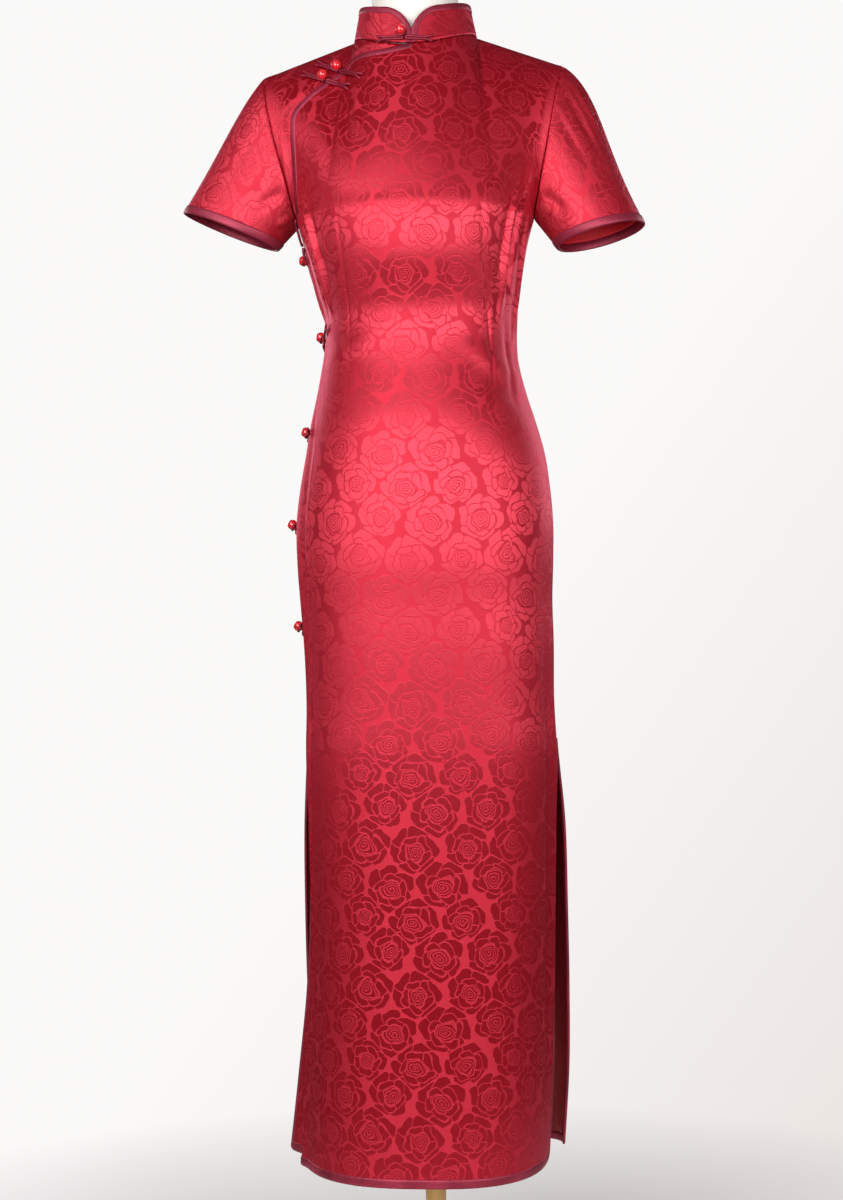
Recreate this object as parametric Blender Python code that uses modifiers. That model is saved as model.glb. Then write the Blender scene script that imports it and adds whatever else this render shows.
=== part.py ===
"""A long cheongsam dress of jacquard satin, worn by a limbless dress form on a round base.

Metres, +Z up. The origin is at the middle of the base's underside, the dress faces -Y and +X is on
the viewer's right, which is the wearer's left. Each cloth piece is a thin wall: a grid of points on
its outer face, worked out from the tables below, with the thickness laid inwards. What is sewn on a
panel is made from that panel's own points, moved out.
"""

import math
from collections import namedtuple

import bmesh
import bpy
import numpy as np
from mathutils import Vector
from mathutils.bvhtree import BVHTree

# Cloth and clearances.
CLOTH = 0.0016
LINING = 0.0010
COLLAR_WALL = 0.0022
TRIM = 0.0012
GAP = 0.0003
SEAM_PULL = 0.0002
SLEEVE_PULL = 0.0005
TRIM_GAP = 0.0004
TRIM_WIDTH = 0.010

# Heights of the dress above the floor.
HEM_Z = 0.200
SLIT_TOP_Z = 0.700
ARMPIT_Z = 1.312
SHOULDER_Z = 1.4895
NECK_SIDE_Z = 1.527
NECK_FRONT_Z = 1.507
NECK_BACK_Z = 1.537

# The body of the dress, one row for each level down to the top of the slits. The half widths are
# measured from the centre line to each side seam.
Level = namedtuple("Level", "height left right front back")
BODY = (
    Level(1.312, 0.1420, 0.1355, 0.121, 0.103),
    Level(1.285, 0.1345, 0.1280, 0.120, 0.100),
    Level(1.255, 0.1257, 0.1225, 0.113, 0.096),
    Level(1.225, 0.1180, 0.1175, 0.104, 0.092),
    Level(1.195, 0.1105, 0.1125, 0.097, 0.087),
    Level(1.165, 0.1132, 0.1122, 0.095, 0.086),
    Level(1.135, 0.1180, 0.1165, 0.097, 0.089),
    Level(1.105, 0.1235, 0.1240, 0.101, 0.095),
    Level(1.075, 0.1300, 0.1333, 0.105, 0.102),
    Level(1.035, 0.1372, 0.1440, 0.108, 0.109),
    Level(1.000, 0.1440, 0.1488, 0.109, 0.113),
    Level(0.960, 0.1494, 0.1520, 0.109, 0.114),
    Level(0.910, 0.1494, 0.1514, 0.108, 0.113),
    Level(0.865, 0.1465, 0.1496, 0.106, 0.110),
    Level(0.815, 0.1430, 0.1503, 0.105, 0.107),
    Level(0.742, 0.1418, 0.1497, 0.104, 0.105),
    Level(0.700, 0.1435, 0.1515, 0.104, 0.105),
)
SEAM_Y = 0.005

# The two skirt panels below the slits, which hang free. An edge is how far behind the centre plane
# the panel's side edge hangs.
Skirt = namedtuple("Skirt", "height left right depth left_edge right_edge")
FRONT_SKIRT = (
    Skirt(0.600, 0.1430, 0.1480, 0.103, 0.014, 0.012),
    Skirt(0.500, 0.1425, 0.1450, 0.102, 0.026, 0.022),
    Skirt(0.400, 0.1460, 0.1425, 0.102, 0.040, 0.034),
    Skirt(0.300, 0.1535, 0.1400, 0.102, 0.058, 0.046),
    Skirt(0.200, 0.1600, 0.1330, 0.102, 0.073, 0.055),
)
BACK_SKIRT = (
    Skirt(0.600, 0.1510, 0.1590, 0.109, 0.022, 0.022),
    Skirt(0.500, 0.1545, 0.1600, 0.115, 0.040, 0.040),
    Skirt(0.400, 0.1560, 0.1600, 0.122, 0.058, 0.058),
    Skirt(0.300, 0.1550, 0.1580, 0.130, 0.075, 0.075),
    Skirt(0.200, 0.1500, 0.1510, 0.138, 0.092, 0.092),
)

# The largest folds of the front skirt, on its left half. A place is a share of the way from the
# centre line to the side edge; the fold grows from its top down to the hem.
Fold = namedtuple("Fold", "top_z top_place hem_place width top_rise hem_rise growth")
FRONT_FOLDS = (
    Fold(1.230, 0.83, 0.735, 0.050, 0.0020, 0.0060, 1.2),
    Fold(1.150, 0.92, 0.850, 0.070, -0.0010, -0.0060, 1.6),
    Fold(0.700, 1.00, 1.000, 0.110, 0.0000, 0.0220, 2.0),
)

# The armhole seam, from the armpit up to the shoulder point.
Armhole = namedtuple("Armhole", "height left right")
ARMHOLE = (
    Armhole(1.312, 0.1420, 0.1355),
    Armhole(1.324, 0.1455, 0.1385),
    Armhole(1.346, 0.1500, 0.1435),
    Armhole(1.378, 0.1575, 0.1505),
    Armhole(1.406, 0.1645, 0.1560),
    Armhole(1.434, 0.1705, 0.1612),
    Armhole(1.457, 0.1755, 0.1655),
    Armhole(1.4895, 0.1800, 0.1735),
)
ARMHOLE_FRONT = 0.047
ARMHOLE_BACK = 0.052
SHOULDER_Y = 0.004

# The neckline and the stand collar.
NECK_HALF = 0.0725
NECK_FRONT = 0.062
NECK_BACK = 0.066
COLLAR_FRONT = 0.0425
COLLAR_SIDE = 0.0360
COLLAR_BACK = 0.0400
COLLAR_LEAN = 0.0085
COLLAR_MEET = 0.009
COLLAR_ROUND = 0.034
COLLAR_LIFT = 0.0020

# The front's slanted opening, from the armpit up to the front of the neck. Up is the share of the
# way from the armpit to the top of the panel, place the share from the centre to the armhole.
Opening = namedtuple("Opening", "up place")
OPENING = (
    Opening(0.00, 0.970),
    Opening(0.13, 0.905),
    Opening(0.38, 0.855),
    Opening(0.53, 0.835),
    Opening(0.61, 0.815),
    Opening(0.68, 0.730),
    Opening(0.75, 0.620),
    Opening(0.82, 0.490),
    Opening(0.90, 0.325),
    Opening(0.96, 0.125),
    Opening(1.00, 0.000),
)
UNDERLAP = 0.012
UNDERLAP_SINK = 0.0035

# The sleeves. The mouth's ends are its outer and inner corners, seen from the front.
Sleeve = namedtuple("Sleeve", "name side outer_x outer_z inner_x inner_z depth back_drop head")
SLEEVES = (
    Sleeve("right_arm", -1, 0.2805, 1.3315, 0.1690, 1.2850, 0.100, 0.000, 0.004),
    Sleeve("left_arm", 1, 0.2655, 1.3015, 0.1630, 1.2765, 0.104, 0.006, 0.012),
)
SLEEVE_ROWS = 6
CUFF_BAND = 0.010

# Frog fastenings. A cord pair is laid each way from the middle, and the bead sits beside it.
CORD_RADIUS = 0.0014
CORD_SPACE = 0.0032
BEAD_RADIUS = 0.0060
FROG_REACH = 0.031

# The dress form.
FORM_CLEAR = 0.0110
FORM_BOTTOM_Z = 0.815
FORM_NECK_WIDTH = 0.0505
FORM_NECK_DEPTH = 0.0480
NECK_MIDDLE = 0.002
FORM_TOP_Z = 1.590
POLE_RADIUS = 0.012
BASE_RADIUS = 0.170
BASE_HEIGHT = 0.014

FRONT, BACK = -1, 1
LEFT, RIGHT = -1, 1


# --- small mathematics ------------------------------------------------------------------------


def smooth_at(xs, ys, x):
    """A smooth curve through the points (xs, ys), xs rising, read at x."""
    xs, ys = np.asarray(xs, float), np.asarray(ys, float)
    x = float(np.clip(x, xs[0], xs[-1]))
    slopes = np.gradient(ys, xs)
    i = int(np.clip(np.searchsorted(xs, x) - 1, 0, len(xs) - 2))
    step = xs[i + 1] - xs[i]
    t = (x - xs[i]) / step
    rise = ys[i] * (2 * t**3 - 3 * t**2 + 1) + ys[i + 1] * (3 * t**2 - 2 * t**3)
    return rise + step * (slopes[i] * (t**3 - 2 * t**2 + t) + slopes[i + 1] * (t**3 - t**2))


def column(table, name, height):
    """One named column of a table, at a height."""
    rows = sorted(table, key=lambda row: row.height)
    return smooth_at([row.height for row in rows], [getattr(row, name) for row in rows], height)


def ease(t):
    t = np.clip(t, 0.0, 1.0)
    return t * t * (3 - 2 * t)


def unit(vectors):
    vectors = np.asarray(vectors, float)
    return vectors / np.maximum(np.linalg.norm(vectors, axis=-1, keepdims=True), 1e-12)


def grid_normals(points, facing, closed=False):
    """Unit normals of a grid of points, on the side of facing, another grid or one direction."""
    down = np.gradient(points, axis=0)
    if closed:
        across = np.roll(points, -1, axis=1) - np.roll(points, 1, axis=1)
    else:
        across = np.gradient(points, axis=1)
    normals = unit(np.cross(down, across))
    sign = np.sign((normals * facing).sum(axis=-1, keepdims=True))
    return normals * np.where(sign == 0, 1.0, sign)


# --- the form of the dress --------------------------------------------------------------------


def squareness(height):
    """How full the corners of a level section are: 2 is an ellipse."""
    return float(np.interp(height, [0.2, 0.7, 1.0, 1.2, 1.32], [2.65, 2.5, 2.35, 2.15, 2.3]))


def half_section(face, side, height):
    """Points from the centre line to the side edge of a panel at a height, as (x, y) rows."""
    if height >= SLIT_TOP_Z:
        reach = column(BODY, "left" if side == LEFT else "right", height)
        depth = column(BODY, "front" if face == FRONT else "back", height)
        edge = SEAM_Y * -face
    else:
        skirt = skirt_rows(face)
        reach = column(skirt, "left" if side == LEFT else "right", height)
        depth = column(skirt, "depth", height)
        edge = column(skirt, "left_edge" if side == LEFT else "right_edge", height) * -face
    power = 2 / squareness(height)
    angle = np.linspace(0, math.pi / 2, 121)
    x = reach * np.sin(angle) ** power
    y = (depth + edge) * np.cos(angle) ** power - edge
    return np.column_stack([side * x, face * y])


def skirt_rows(face):
    """The skirt's table with the levels above its slits, so that the two join smoothly."""
    skirt = FRONT_SKIRT if face == FRONT else BACK_SKIRT
    shared = [
        Skirt(row.height, row.left, row.right, row.front if face == FRONT else row.back, SEAM_Y, SEAM_Y)
        for row in BODY
        if row.height < 0.8
    ]
    return (*shared, *skirt)


def fold_rise(place, height):
    """How far the front's folds push the cloth out, on its left half."""
    rise = 0.0
    for fold in FRONT_FOLDS:
        if height >= fold.top_z:
            continue
        down = (fold.top_z - height) / (fold.top_z - HEM_Z)
        middle = fold.top_place + (fold.hem_place - fold.top_place) * down
        most = fold.top_rise * ease(down * 6) + (fold.hem_rise - fold.top_rise) * down**fold.growth
        rise += most * math.exp(-(((place - middle) / fold.width) ** 2))
    return rise


def section_reader(face, side, height):
    """A function that reads a half section by share of its length, and that length."""
    curve = half_section(face, side, height)
    steps = np.linalg.norm(np.diff(curve, axis=0), axis=1)
    along = np.concatenate([[0], np.cumsum(steps)]) / steps.sum()
    return lambda share: np.array([np.interp(share, along, curve[:, i]) for i in (0, 1)])


def plain_level_point(face, place, height):
    """A point of a panel below the armpits, without folds. Place runs from -1, left, to 1."""
    read = section_reader(face, LEFT if place < 0 else RIGHT, height)
    return np.array([*read(abs(place)), height])


def level_point(face, place, height):
    """A point of a panel below the armpits, pushed out or in by the panel's folds."""
    point = plain_level_point(face, place, height)
    if face == BACK or place >= 0:
        return point
    read = section_reader(face, LEFT, height)
    dx, dy = read(min(abs(place) + 0.01, 1)) - read(max(abs(place) - 0.01, 0))
    outward = unit([dy, -dx])
    if outward @ point[:2] < 0:
        outward = -outward
    point[:2] += outward * fold_rise(abs(place), height)
    return point


def half_length(face, side, height):
    return float(np.linalg.norm(np.diff(half_section(face, side, height), axis=0), axis=1).sum())


def armhole_point(face, side, up):
    """A point of the armhole seam, from the armpit (0) to the shoulder point (1)."""
    height = ARMPIT_Z + (SHOULDER_Z - ARMPIT_Z) * (1 - math.cos(math.pi * up)) / 2
    x = column(ARMHOLE, "left" if side == LEFT else "right", height)
    depth = ARMHOLE_FRONT if face == FRONT else ARMHOLE_BACK
    middle = SEAM_Y + (SHOULDER_Y - SEAM_Y) * up
    return np.array([side * x, middle + face * depth * math.sin(math.pi * up), height])


def neck_point(face, place):
    """A point of the neckline. Place runs from -1 at the left side of the neck to 1."""
    turn = place * math.pi / 2
    depth, height = (NECK_FRONT, NECK_FRONT_Z) if face == FRONT else (NECK_BACK, NECK_BACK_Z)
    y = face * (depth + SHOULDER_Y * -face) * math.cos(turn) + SHOULDER_Y
    z = height + (NECK_SIDE_Z - height) * math.sin(turn) ** 2
    return np.array([NECK_HALF * math.sin(turn), y, z])


def top_point(face, place):
    """The upper edge of the chest or back: a shoulder, the neckline and the other shoulder."""
    if abs(place) <= 0.5:
        return neck_point(face, place * 2)
    side = LEFT if place < 0 else RIGHT
    out = (abs(place) - 0.5) * 2
    return neck_point(face, side) * (1 - out) + armhole_point(face, side, 1) * out


def chest_point(face, place, up):
    """A point between the armpits and the shoulders: a patch spanned by its four edges."""
    bottom, top = level_point(face, place, ARMPIT_Z), top_point(face, place)
    shoulder = ease((abs(place) - 0.25) / 0.5)
    bend = 1.25 + 0.95 * shoulder if face == FRONT else 1.8 + 0.7 * shoulder
    point = bottom * (1 - up) + top * up
    point[1] = bottom[1] + (top[1] - bottom[1]) * up**bend
    side = LEFT if place < 0 else RIGHT
    edge = armhole_point(face, side, up)
    low, high = armhole_point(face, side, 0), armhole_point(face, side, 1)
    straight = low * (1 - up) + high * up
    straight[1] = low[1] + (high[1] - low[1]) * up**bend
    return point + abs(place) ** 3.2 * (edge - straight)


def opening_place(up):
    return -smooth_at([row.up for row in OPENING], [row.place for row in OPENING], up)


def inside_opening(up, distance):
    """The place and up of a point that far in from the opening's edge, square to it."""
    step = 0.004
    low, high = max(up - step, 0.0), min(up + step, 1.0)
    place = opening_place(up)
    along = chest_point(FRONT, opening_place(high), high) - chest_point(FRONT, opening_place(low), low)
    across = (chest_point(FRONT, place + step, up) - chest_point(FRONT, place, up)) / step
    upwards = (chest_point(FRONT, place, high) - chest_point(FRONT, place, low)) / (high - low)
    inwards = unit(np.cross(along, np.cross(across, upwards))) * distance
    moves = np.linalg.lstsq(np.column_stack([across, upwards]), inwards, rcond=None)[0]
    return place + moves[0], max(up + moves[1], 0.0)


# --- grids of points --------------------------------------------------------------------------

LEVELS = (
    [HEM_Z, HEM_Z + TRIM_WIDTH, 0.280, 0.355, 0.430, 0.505, 0.575, 0.640, SLIT_TOP_Z]
    + [0.775, 0.850, 0.915, 0.975, 1.030, 1.080, 1.130, 1.180, 1.230, 1.275]
)
SLIT_ROW = LEVELS.index(SLIT_TOP_Z)
UPS = [0.0, 0.14, 0.28, 0.42, 0.53, 0.585, 0.64, 0.70, 0.77, 0.84, 0.90, 0.955, 1.0]
FRONT_COLUMNS = 20
BACK_COLUMNS = 16
LAP_COLUMNS = 10


def shares(cells, length):
    """Shares of a half, from centre to edge, with a last cell as wide as the trim."""
    last = 1 - TRIM_WIDTH / length
    return [last * i / (cells - 1) for i in range(cells)] + [1.0]


def row_places(left_length, right_length, cells):
    left = [-share for share in reversed(shares(cells, left_length))]
    return left + shares(cells, right_length)[1:]


def front_grid():
    """The front, from hem to shoulder: its left edge follows the side and then the opening."""
    half = FRONT_COLUMNS // 2
    rows = []
    for height in LEVELS:
        lengths = [half_length(FRONT, side, height) for side in (LEFT, RIGHT)]
        rows.append([level_point(FRONT, place, height) for place in row_places(*lengths, half)])
    for up in UPS:
        middle = 0.5 * up
        first = inside_opening(up, TRIM_WIDTH) if up < 1 else (middle / half, 1.0)
        places = [opening_place(up), *np.linspace(first[0], middle, half)]
        places += np.linspace(middle, 1, half + 1)[1:].tolist()
        ups = [up, *np.linspace(first[1], up, half), *[up] * half]
        rows.append([chest_point(FRONT, place, at) for place, at in zip(places, ups)])
    return np.array(rows)


def back_grid():
    half = BACK_COLUMNS // 2
    rows = []
    for height in LEVELS:
        lengths = [half_length(BACK, side, height) for side in (LEFT, RIGHT)]
        rows.append([level_point(BACK, place, height) for place in row_places(*lengths, half)])
    for up in UPS:
        rows.append([chest_point(BACK, place, up) for place in np.linspace(-1, 1, BACK_COLUMNS + 1)])
    return np.array(rows)


def underlap_grid():
    """The shoulder piece behind the opening, from the armhole to a little under the front."""
    rows = []
    for up in UPS:
        end = opening_place(up)
        row = [chest_point(FRONT, place, up) for place in np.linspace(-1, end, LAP_COLUMNS + 1)]
        rows.append([*row, chest_point(FRONT, *inside_opening(up, UNDERLAP))])
    return np.array(rows)


def sleeve_grid(sleeve):
    """Rings from the armhole to the cuff, each running up the front and down the back."""
    turns = [(FRONT, up) for up in UPS] + [(BACK, up) for up in reversed(UPS[1:-1])]
    side = sleeve.side
    outer = np.array([side * sleeve.outer_x, SHOULDER_Y, sleeve.outer_z])
    inner = np.array([side * sleeve.inner_x, SHOULDER_Y, sleeve.inner_z])
    centre, half = (outer + inner) / 2, (inner - outer) / 2
    rings = []
    for row in range(SLEEVE_ROWS + 1):
        down = row / SLEEVE_ROWS
        ring = []
        for face, up in turns:
            start = armhole_point(face, side, up)
            turn = math.pi * up
            tilt = np.array([0, face * sleeve.depth / 2, -face * sleeve.back_drop / 2])
            end = centre + half * math.cos(turn) + tilt * math.sin(turn)
            puff = sleeve.head * max(-math.cos(turn), 0) ** 2 * down * (1 - down) ** 3 * 9
            ring.append(start * (1 - down) + end * down + puff * np.array([side * 0.75, 0, 0.66]))
        rings.append(ring)
    return np.array(rings)


def collar_grid(points_round=28, points_up=4):
    """The stand collar from its left front end round the back to the right front end."""
    rows = []
    for i in range(points_up + 1):
        row = []
        for j in range(points_round + 1):
            turn = -math.pi + 2 * math.pi * j / points_round
            base = collar_base(turn)
            reach = collar_height(turn) * collar_rounding(turn)
            lean = COLLAR_LEAN * i / points_up * collar_rounding(turn)
            centre = np.array([0, 0.5 * (NECK_BACK - NECK_FRONT), 0])
            inward = unit((centre - base) * [1, 1, 0])
            row.append(base + inward * lean + np.array([0, 0, reach * i / points_up]))
        rows.append(row)
    return np.array(rows)


def collar_base(turn):
    """The seam of collar and neckline, a full turn from the front by the left and the back."""
    face = FRONT if abs(turn) > math.pi / 2 else BACK
    place = math.sin(turn)
    near = math.asin(np.clip(place, -1, 1)) / (math.pi / 2)
    point = neck_point(face, near) + np.array([0, 0, COLLAR_LIFT])
    if abs(abs(turn) - math.pi) < 1e-6:
        point[0] = math.copysign(0.0004, turn)
    return point


def collar_height(turn):
    """The collar's height before its front ends are rounded, least at the sides of the neck."""
    towards = math.cos(turn)
    end = COLLAR_FRONT if towards < 0 else COLLAR_BACK
    return COLLAR_SIDE + (end - COLLAR_SIDE) * towards**2


def collar_rounding(turn):
    """The collar's height as a share of its full height, less at its two rounded front ends."""
    away = (math.pi - abs(turn)) * NECK_HALF * 0.93
    low = COLLAR_MEET / COLLAR_FRONT
    if away >= COLLAR_ROUND:
        return 1.0
    return low + (1 - low) * math.sqrt(1 - (1 - away / COLLAR_ROUND) ** 2)


# --- making solids ----------------------------------------------------------------------------


def colour_material(name, colour, roughness, metallic=0.0):
    material = bpy.data.materials.new(name)
    material.use_nodes = True
    shader = material.node_tree.nodes["Principled BSDF"]
    shader.inputs["Base Color"].default_value = (*colour, 1.0)
    shader.inputs["Roughness"].default_value = roughness
    shader.inputs["Metallic"].default_value = metallic
    return material


def add_object(name, mesh, material, collection):
    mesh.materials.append(material)
    obj = bpy.data.objects.new(name, mesh)
    collection.objects.link(obj)
    return obj


def wall(name, outer, inner, material, collection, closed=False):
    """A closed wall between two grids of points, the faces of one cloth piece."""
    mesh = bmesh.new()
    rows, columns = outer.shape[:2]
    layers = [[[mesh.verts.new(p) for p in row] for row in layer] for layer in (outer, inner)]
    spans = columns if closed else columns - 1
    for r in range(rows - 1):
        for c in range(spans):
            d = (c + 1) % columns
            for flip, verts in enumerate(layers):
                quad = [verts[r][c], verts[r][d], verts[r + 1][d], verts[r + 1][c]]
                mesh.faces.new(quad[::-1] if flip else quad)
    rim = [((0, c), (0, (c + 1) % columns)) for c in range(spans)]
    rim += [((rows - 1, (c + 1) % columns), (rows - 1, c)) for c in range(spans)]
    if not closed:
        rim += [((r + 1, 0), (r, 0)) for r in range(rows - 1)]
        rim += [((r, columns - 1), (r + 1, columns - 1)) for r in range(rows - 1)]
    for (a, b), (c, d) in rim:
        mesh.faces.new([layers[0][c][d], layers[0][a][b], layers[1][a][b], layers[1][c][d]])
    bmesh.ops.remove_doubles(mesh, verts=mesh.verts[:], dist=1e-6)
    bmesh.ops.triangulate(mesh, faces=mesh.faces[:])
    if mesh.calc_volume(signed=True) < 0:
        bmesh.ops.reverse_faces(mesh, faces=mesh.faces[:])
    data = bpy.data.meshes.new(name)
    mesh.to_mesh(data)
    mesh.free()
    data.shade_smooth()
    data.set_sharp_from_angle(angle=math.radians(40))
    return add_object(name, data, material, collection)


def thick(name, points, normals, material, collection, thickness=CLOTH, closed=False):
    return wall(name, points, points - normals * thickness, material, collection, closed)


def trim(name, path, inner_path, normals, inner_normals, material, collection, closed=False):
    """A flat band on a panel between an edge of its grid and the next line of points."""
    points = np.array([path, inner_path])
    outward = np.array([normals, inner_normals])
    base = points + outward * TRIM_GAP
    return wall(name, base + outward * TRIM, base, material, collection, closed)


def tube(name, points, radius, material, collection):
    """A round cord through points, with its ends closed."""
    curve = bpy.data.curves.new(name, "CURVE")
    curve.dimensions = "3D"
    curve.bevel_depth = radius
    curve.bevel_resolution = 1
    curve.use_fill_caps = True
    spline = curve.splines.new("POLY")
    spline.points.add(len(points) - 1)
    for target, point in zip(spline.points, points):
        target.co = (*point, 1.0)
    return add_object(name, curve, material, collection)


def bead(name, centre, material, collection):
    mesh = bmesh.new()
    bmesh.ops.create_uvsphere(mesh, u_segments=10, v_segments=7, radius=BEAD_RADIUS)
    data = bpy.data.meshes.new(name)
    mesh.to_mesh(data)
    mesh.free()
    data.shade_smooth()
    obj = add_object(name, data, material, collection)
    obj.location = centre
    return obj


def turned(name, profile, material, collection, steps=36):
    """A solid of revolution about Z, its profile given from top to bottom."""
    mesh = bpy.data.meshes.new(name)
    edges = [(i, i + 1) for i in range(len(profile) - 1)]
    mesh.from_pydata([(radius, 0, height) for radius, height in profile], edges, [])
    obj = add_object(name, mesh, material, collection)
    screw = obj.modifiers.new("turn", "SCREW")
    screw.steps = steps
    screw.render_steps = steps
    screw.use_merge_vertices = True
    screw.merge_threshold = 0.00005
    screw.use_smooth_shade = True
    return obj


# --- the dress --------------------------------------------------------------------------------


def pull(points, edge, inside, distance=SEAM_PULL):
    """Draws one line of a grid back from its seam, towards the line inside it."""
    points[edge] += unit(points[inside] - points[edge]) * distance


def share_normals(first, first_at, second, second_at):
    """Gives two pieces one direction of thickness along the seam that they share."""
    mitre = unit(first[first_at] + second[second_at])
    first[first_at] = mitre
    second[second_at] = mitre


class Dress:
    """The grids and normals of every cloth panel, with their seams matched."""

    def __init__(self):
        upper = slice(len(LEVELS), None)
        self.front, self.back, self.lap = front_grid(), back_grid(), underlap_grid()
        self.sleeves = {sleeve.name: sleeve_grid(sleeve) for sleeve in SLEEVES}
        axis = np.array([1.0, 1.0, 0.0])
        lift = np.array([0, 0, 0.03])
        self.front_n = grid_normals(self.front, self.front * axis + lift)
        self.back_n = grid_normals(self.back, self.back * axis + lift)
        self.lap_n = grid_normals(self.lap, self.lap * axis + lift)
        self.sleeve_n = {}
        for name, grid in self.sleeves.items():
            self.sleeve_n[name] = grid_normals(grid, grid - grid.mean(axis=1, keepdims=True), True)
        self.sink_underlap()
        self.match_armhole("left_arm", self.front_n, (upper, -1), self.back_n, (upper, -1))
        self.match_armhole("right_arm", self.lap_n, (slice(None), 0), self.back_n, (upper, 0))
        self.match_shoulders()
        self.open_seams(upper)

    def match_armhole(self, arm, front_n, front_at, back_n, back_at):
        ring = self.sleeve_n[arm]
        count = len(UPS)
        share_normals(front_n, front_at, ring, (0, slice(0, count)))
        order = np.r_[0, np.arange(ring.shape[1] - 1, count - 2, -1)]
        mitre = unit(back_n[back_at] + ring[0, order])
        back_n[back_at] = mitre
        ring[0, order[1:-1]] = mitre[1:-1]

    def match_shoulders(self):
        """The thickness at a shoulder seam runs straight down, whichever side it is on."""
        half = FRONT_COLUMNS // 2
        quarter = BACK_COLUMNS // 4
        for normals, columns in (
            (self.front_n, slice(half, None)),
            (self.back_n, slice(0, quarter + 1)),
            (self.back_n, slice(-quarter - 1, None)),
            (self.lap_n, slice(0, LAP_COLUMNS // 2 + 1)),
        ):
            flat = normals[-1, columns] * np.array([1.0, 0.0, 1.0])
            normals[-1, columns] = unit(flat)

    def sink_underlap(self):
        """Lets the underlap pass beneath the front's edge, and leaves its armhole where it is."""
        for i, row in enumerate(self.lap):
            away = np.linalg.norm(row - row[LAP_COLUMNS], axis=1)
            from_armhole = np.linalg.norm(row - row[0], axis=1)
            under = (1 - ease((away - 0.002) / 0.014)) * ease(from_armhole / 0.006)
            under[LAP_COLUMNS:] = 1
            self.lap[i] -= self.lap_n[i] * (under * UNDERLAP_SINK)[:, None]

    def open_seams(self, upper):
        for grid in (self.front, self.back):
            pull(grid, (upper, -1), (upper, -2), 4 * SEAM_PULL)
            pull(grid, (-1, slice(None)), (-2, slice(None)), 2 * SEAM_PULL)
        pull(self.back, (upper, 0), (upper, 1), 4 * SEAM_PULL)
        pull(self.lap, (slice(None), 0), (slice(None), 1))
        pull(self.lap, (-1, slice(None)), (-2, slice(None)), 2 * SEAM_PULL)
        for edge, inside in ((0, 1), (-1, -2)):
            self.front[SLIT_ROW : len(LEVELS), edge, 1] -= SEAM_PULL
            self.back[SLIT_ROW : len(LEVELS), edge, 1] += SEAM_PULL
        for grid in self.sleeves.values():
            pull(grid, 0, 1, SLEEVE_PULL)


def build_panels(dress, cloth, lining, collection):
    thick("front", dress.front, dress.front_n, cloth, collection)
    thick("back", dress.back, dress.back_n, cloth, collection)
    thick("underlap", dress.lap, dress.lap_n, cloth, collection)
    for sleeve in SLEEVES:
        grid, normals = dress.sleeves[sleeve.name], dress.sleeve_n[sleeve.name]
        thick(f"sleeve_{sleeve.name}", grid, normals, cloth, collection, closed=True)
        inside = grid[-2:] - normals[-2:] * (CLOTH + 1.5 * GAP)
        pull(inside, 1, 0, 0.004)
        name = f"sleeve_lining_{sleeve.name}"
        thick(name, inside, normals[-2:], lining, collection, LINING, closed=True)
    for name, grid, normals in (
        ("front", dress.front, dress.front_n),
        ("back", dress.back, dress.back_n),
    ):
        rows = slice(0, SLIT_ROW + 1)
        inside = grid[rows] - normals[rows] * (CLOTH + 1.5 * GAP)
        pull(inside, 0, 1, 0.003)
        pull(inside, (slice(None), 0), (slice(None), 1), 0.003)
        pull(inside, (slice(None), -1), (slice(None), -2), 0.003)
        thick(f"skirt_lining_{name}", inside, normals[rows], lining, collection, LINING)


def build_collar(cloth, satin, collection):
    grid = collar_grid()
    middle = np.array([0, 0.5 * (NECK_BACK - NECK_FRONT), 0])
    normals = grid_normals(grid, (grid - middle) * np.array([1.0, 1.0, 0.0]))
    for end in (0, -1):
        normals[:, end] = unit(normals[:, end] * [0, 1, 1])
    thick("collar", grid, normals, cloth, collection, COLLAR_WALL)
    top, below = grid[-1], grid[-1] + unit(grid[-2] - grid[-1]) * TRIM_WIDTH * 0.6
    trim("collar_binding", top, below, normals[-1], normals[-1], satin, collection)
    return grid, normals


class Ground:
    """Pieces that something is laid on, asked where a line first meets them."""

    def __init__(self, objects):
        graph = bpy.context.evaluated_depsgraph_get()
        points, faces = [], []
        for obj in objects:
            mesh = obj.evaluated_get(graph).to_mesh()
            faces += [[len(points) + v for v in face.vertices] for face in mesh.polygons]
            points += [vertex.co.copy() for vertex in mesh.vertices]
        self.tree = BVHTree.FromPolygons(points, faces)

    def point(self, start, towards):
        """The first point met from start, going towards, or None."""
        hit = self.tree.ray_cast(Vector(start), Vector(towards))[0]
        return None if hit is None else np.array(hit)

def skirt_binding(name, grid, normals, material, collection):
    """One band down a slit edge, along the hem and up the other slit, on the panel's outer cells."""
    rows, last = range(SLIT_ROW, 0, -1), grid.shape[1] - 1
    outer = [(r, 0) for r in rows] + [(0, c) for c in range(last + 1)]
    outer += [(r, last) for r in reversed(rows)]
    inner = [(max(r, 1), min(max(c, 1), last - 1)) for r, c in outer]
    path, inner_path = ([grid[at] for at in line] for line in (outer, inner))
    facing, inner_facing = ([normals[at] for at in line] for line in (outer, inner))
    trim(name, path, inner_path, facing, inner_facing, material, collection)


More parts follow.
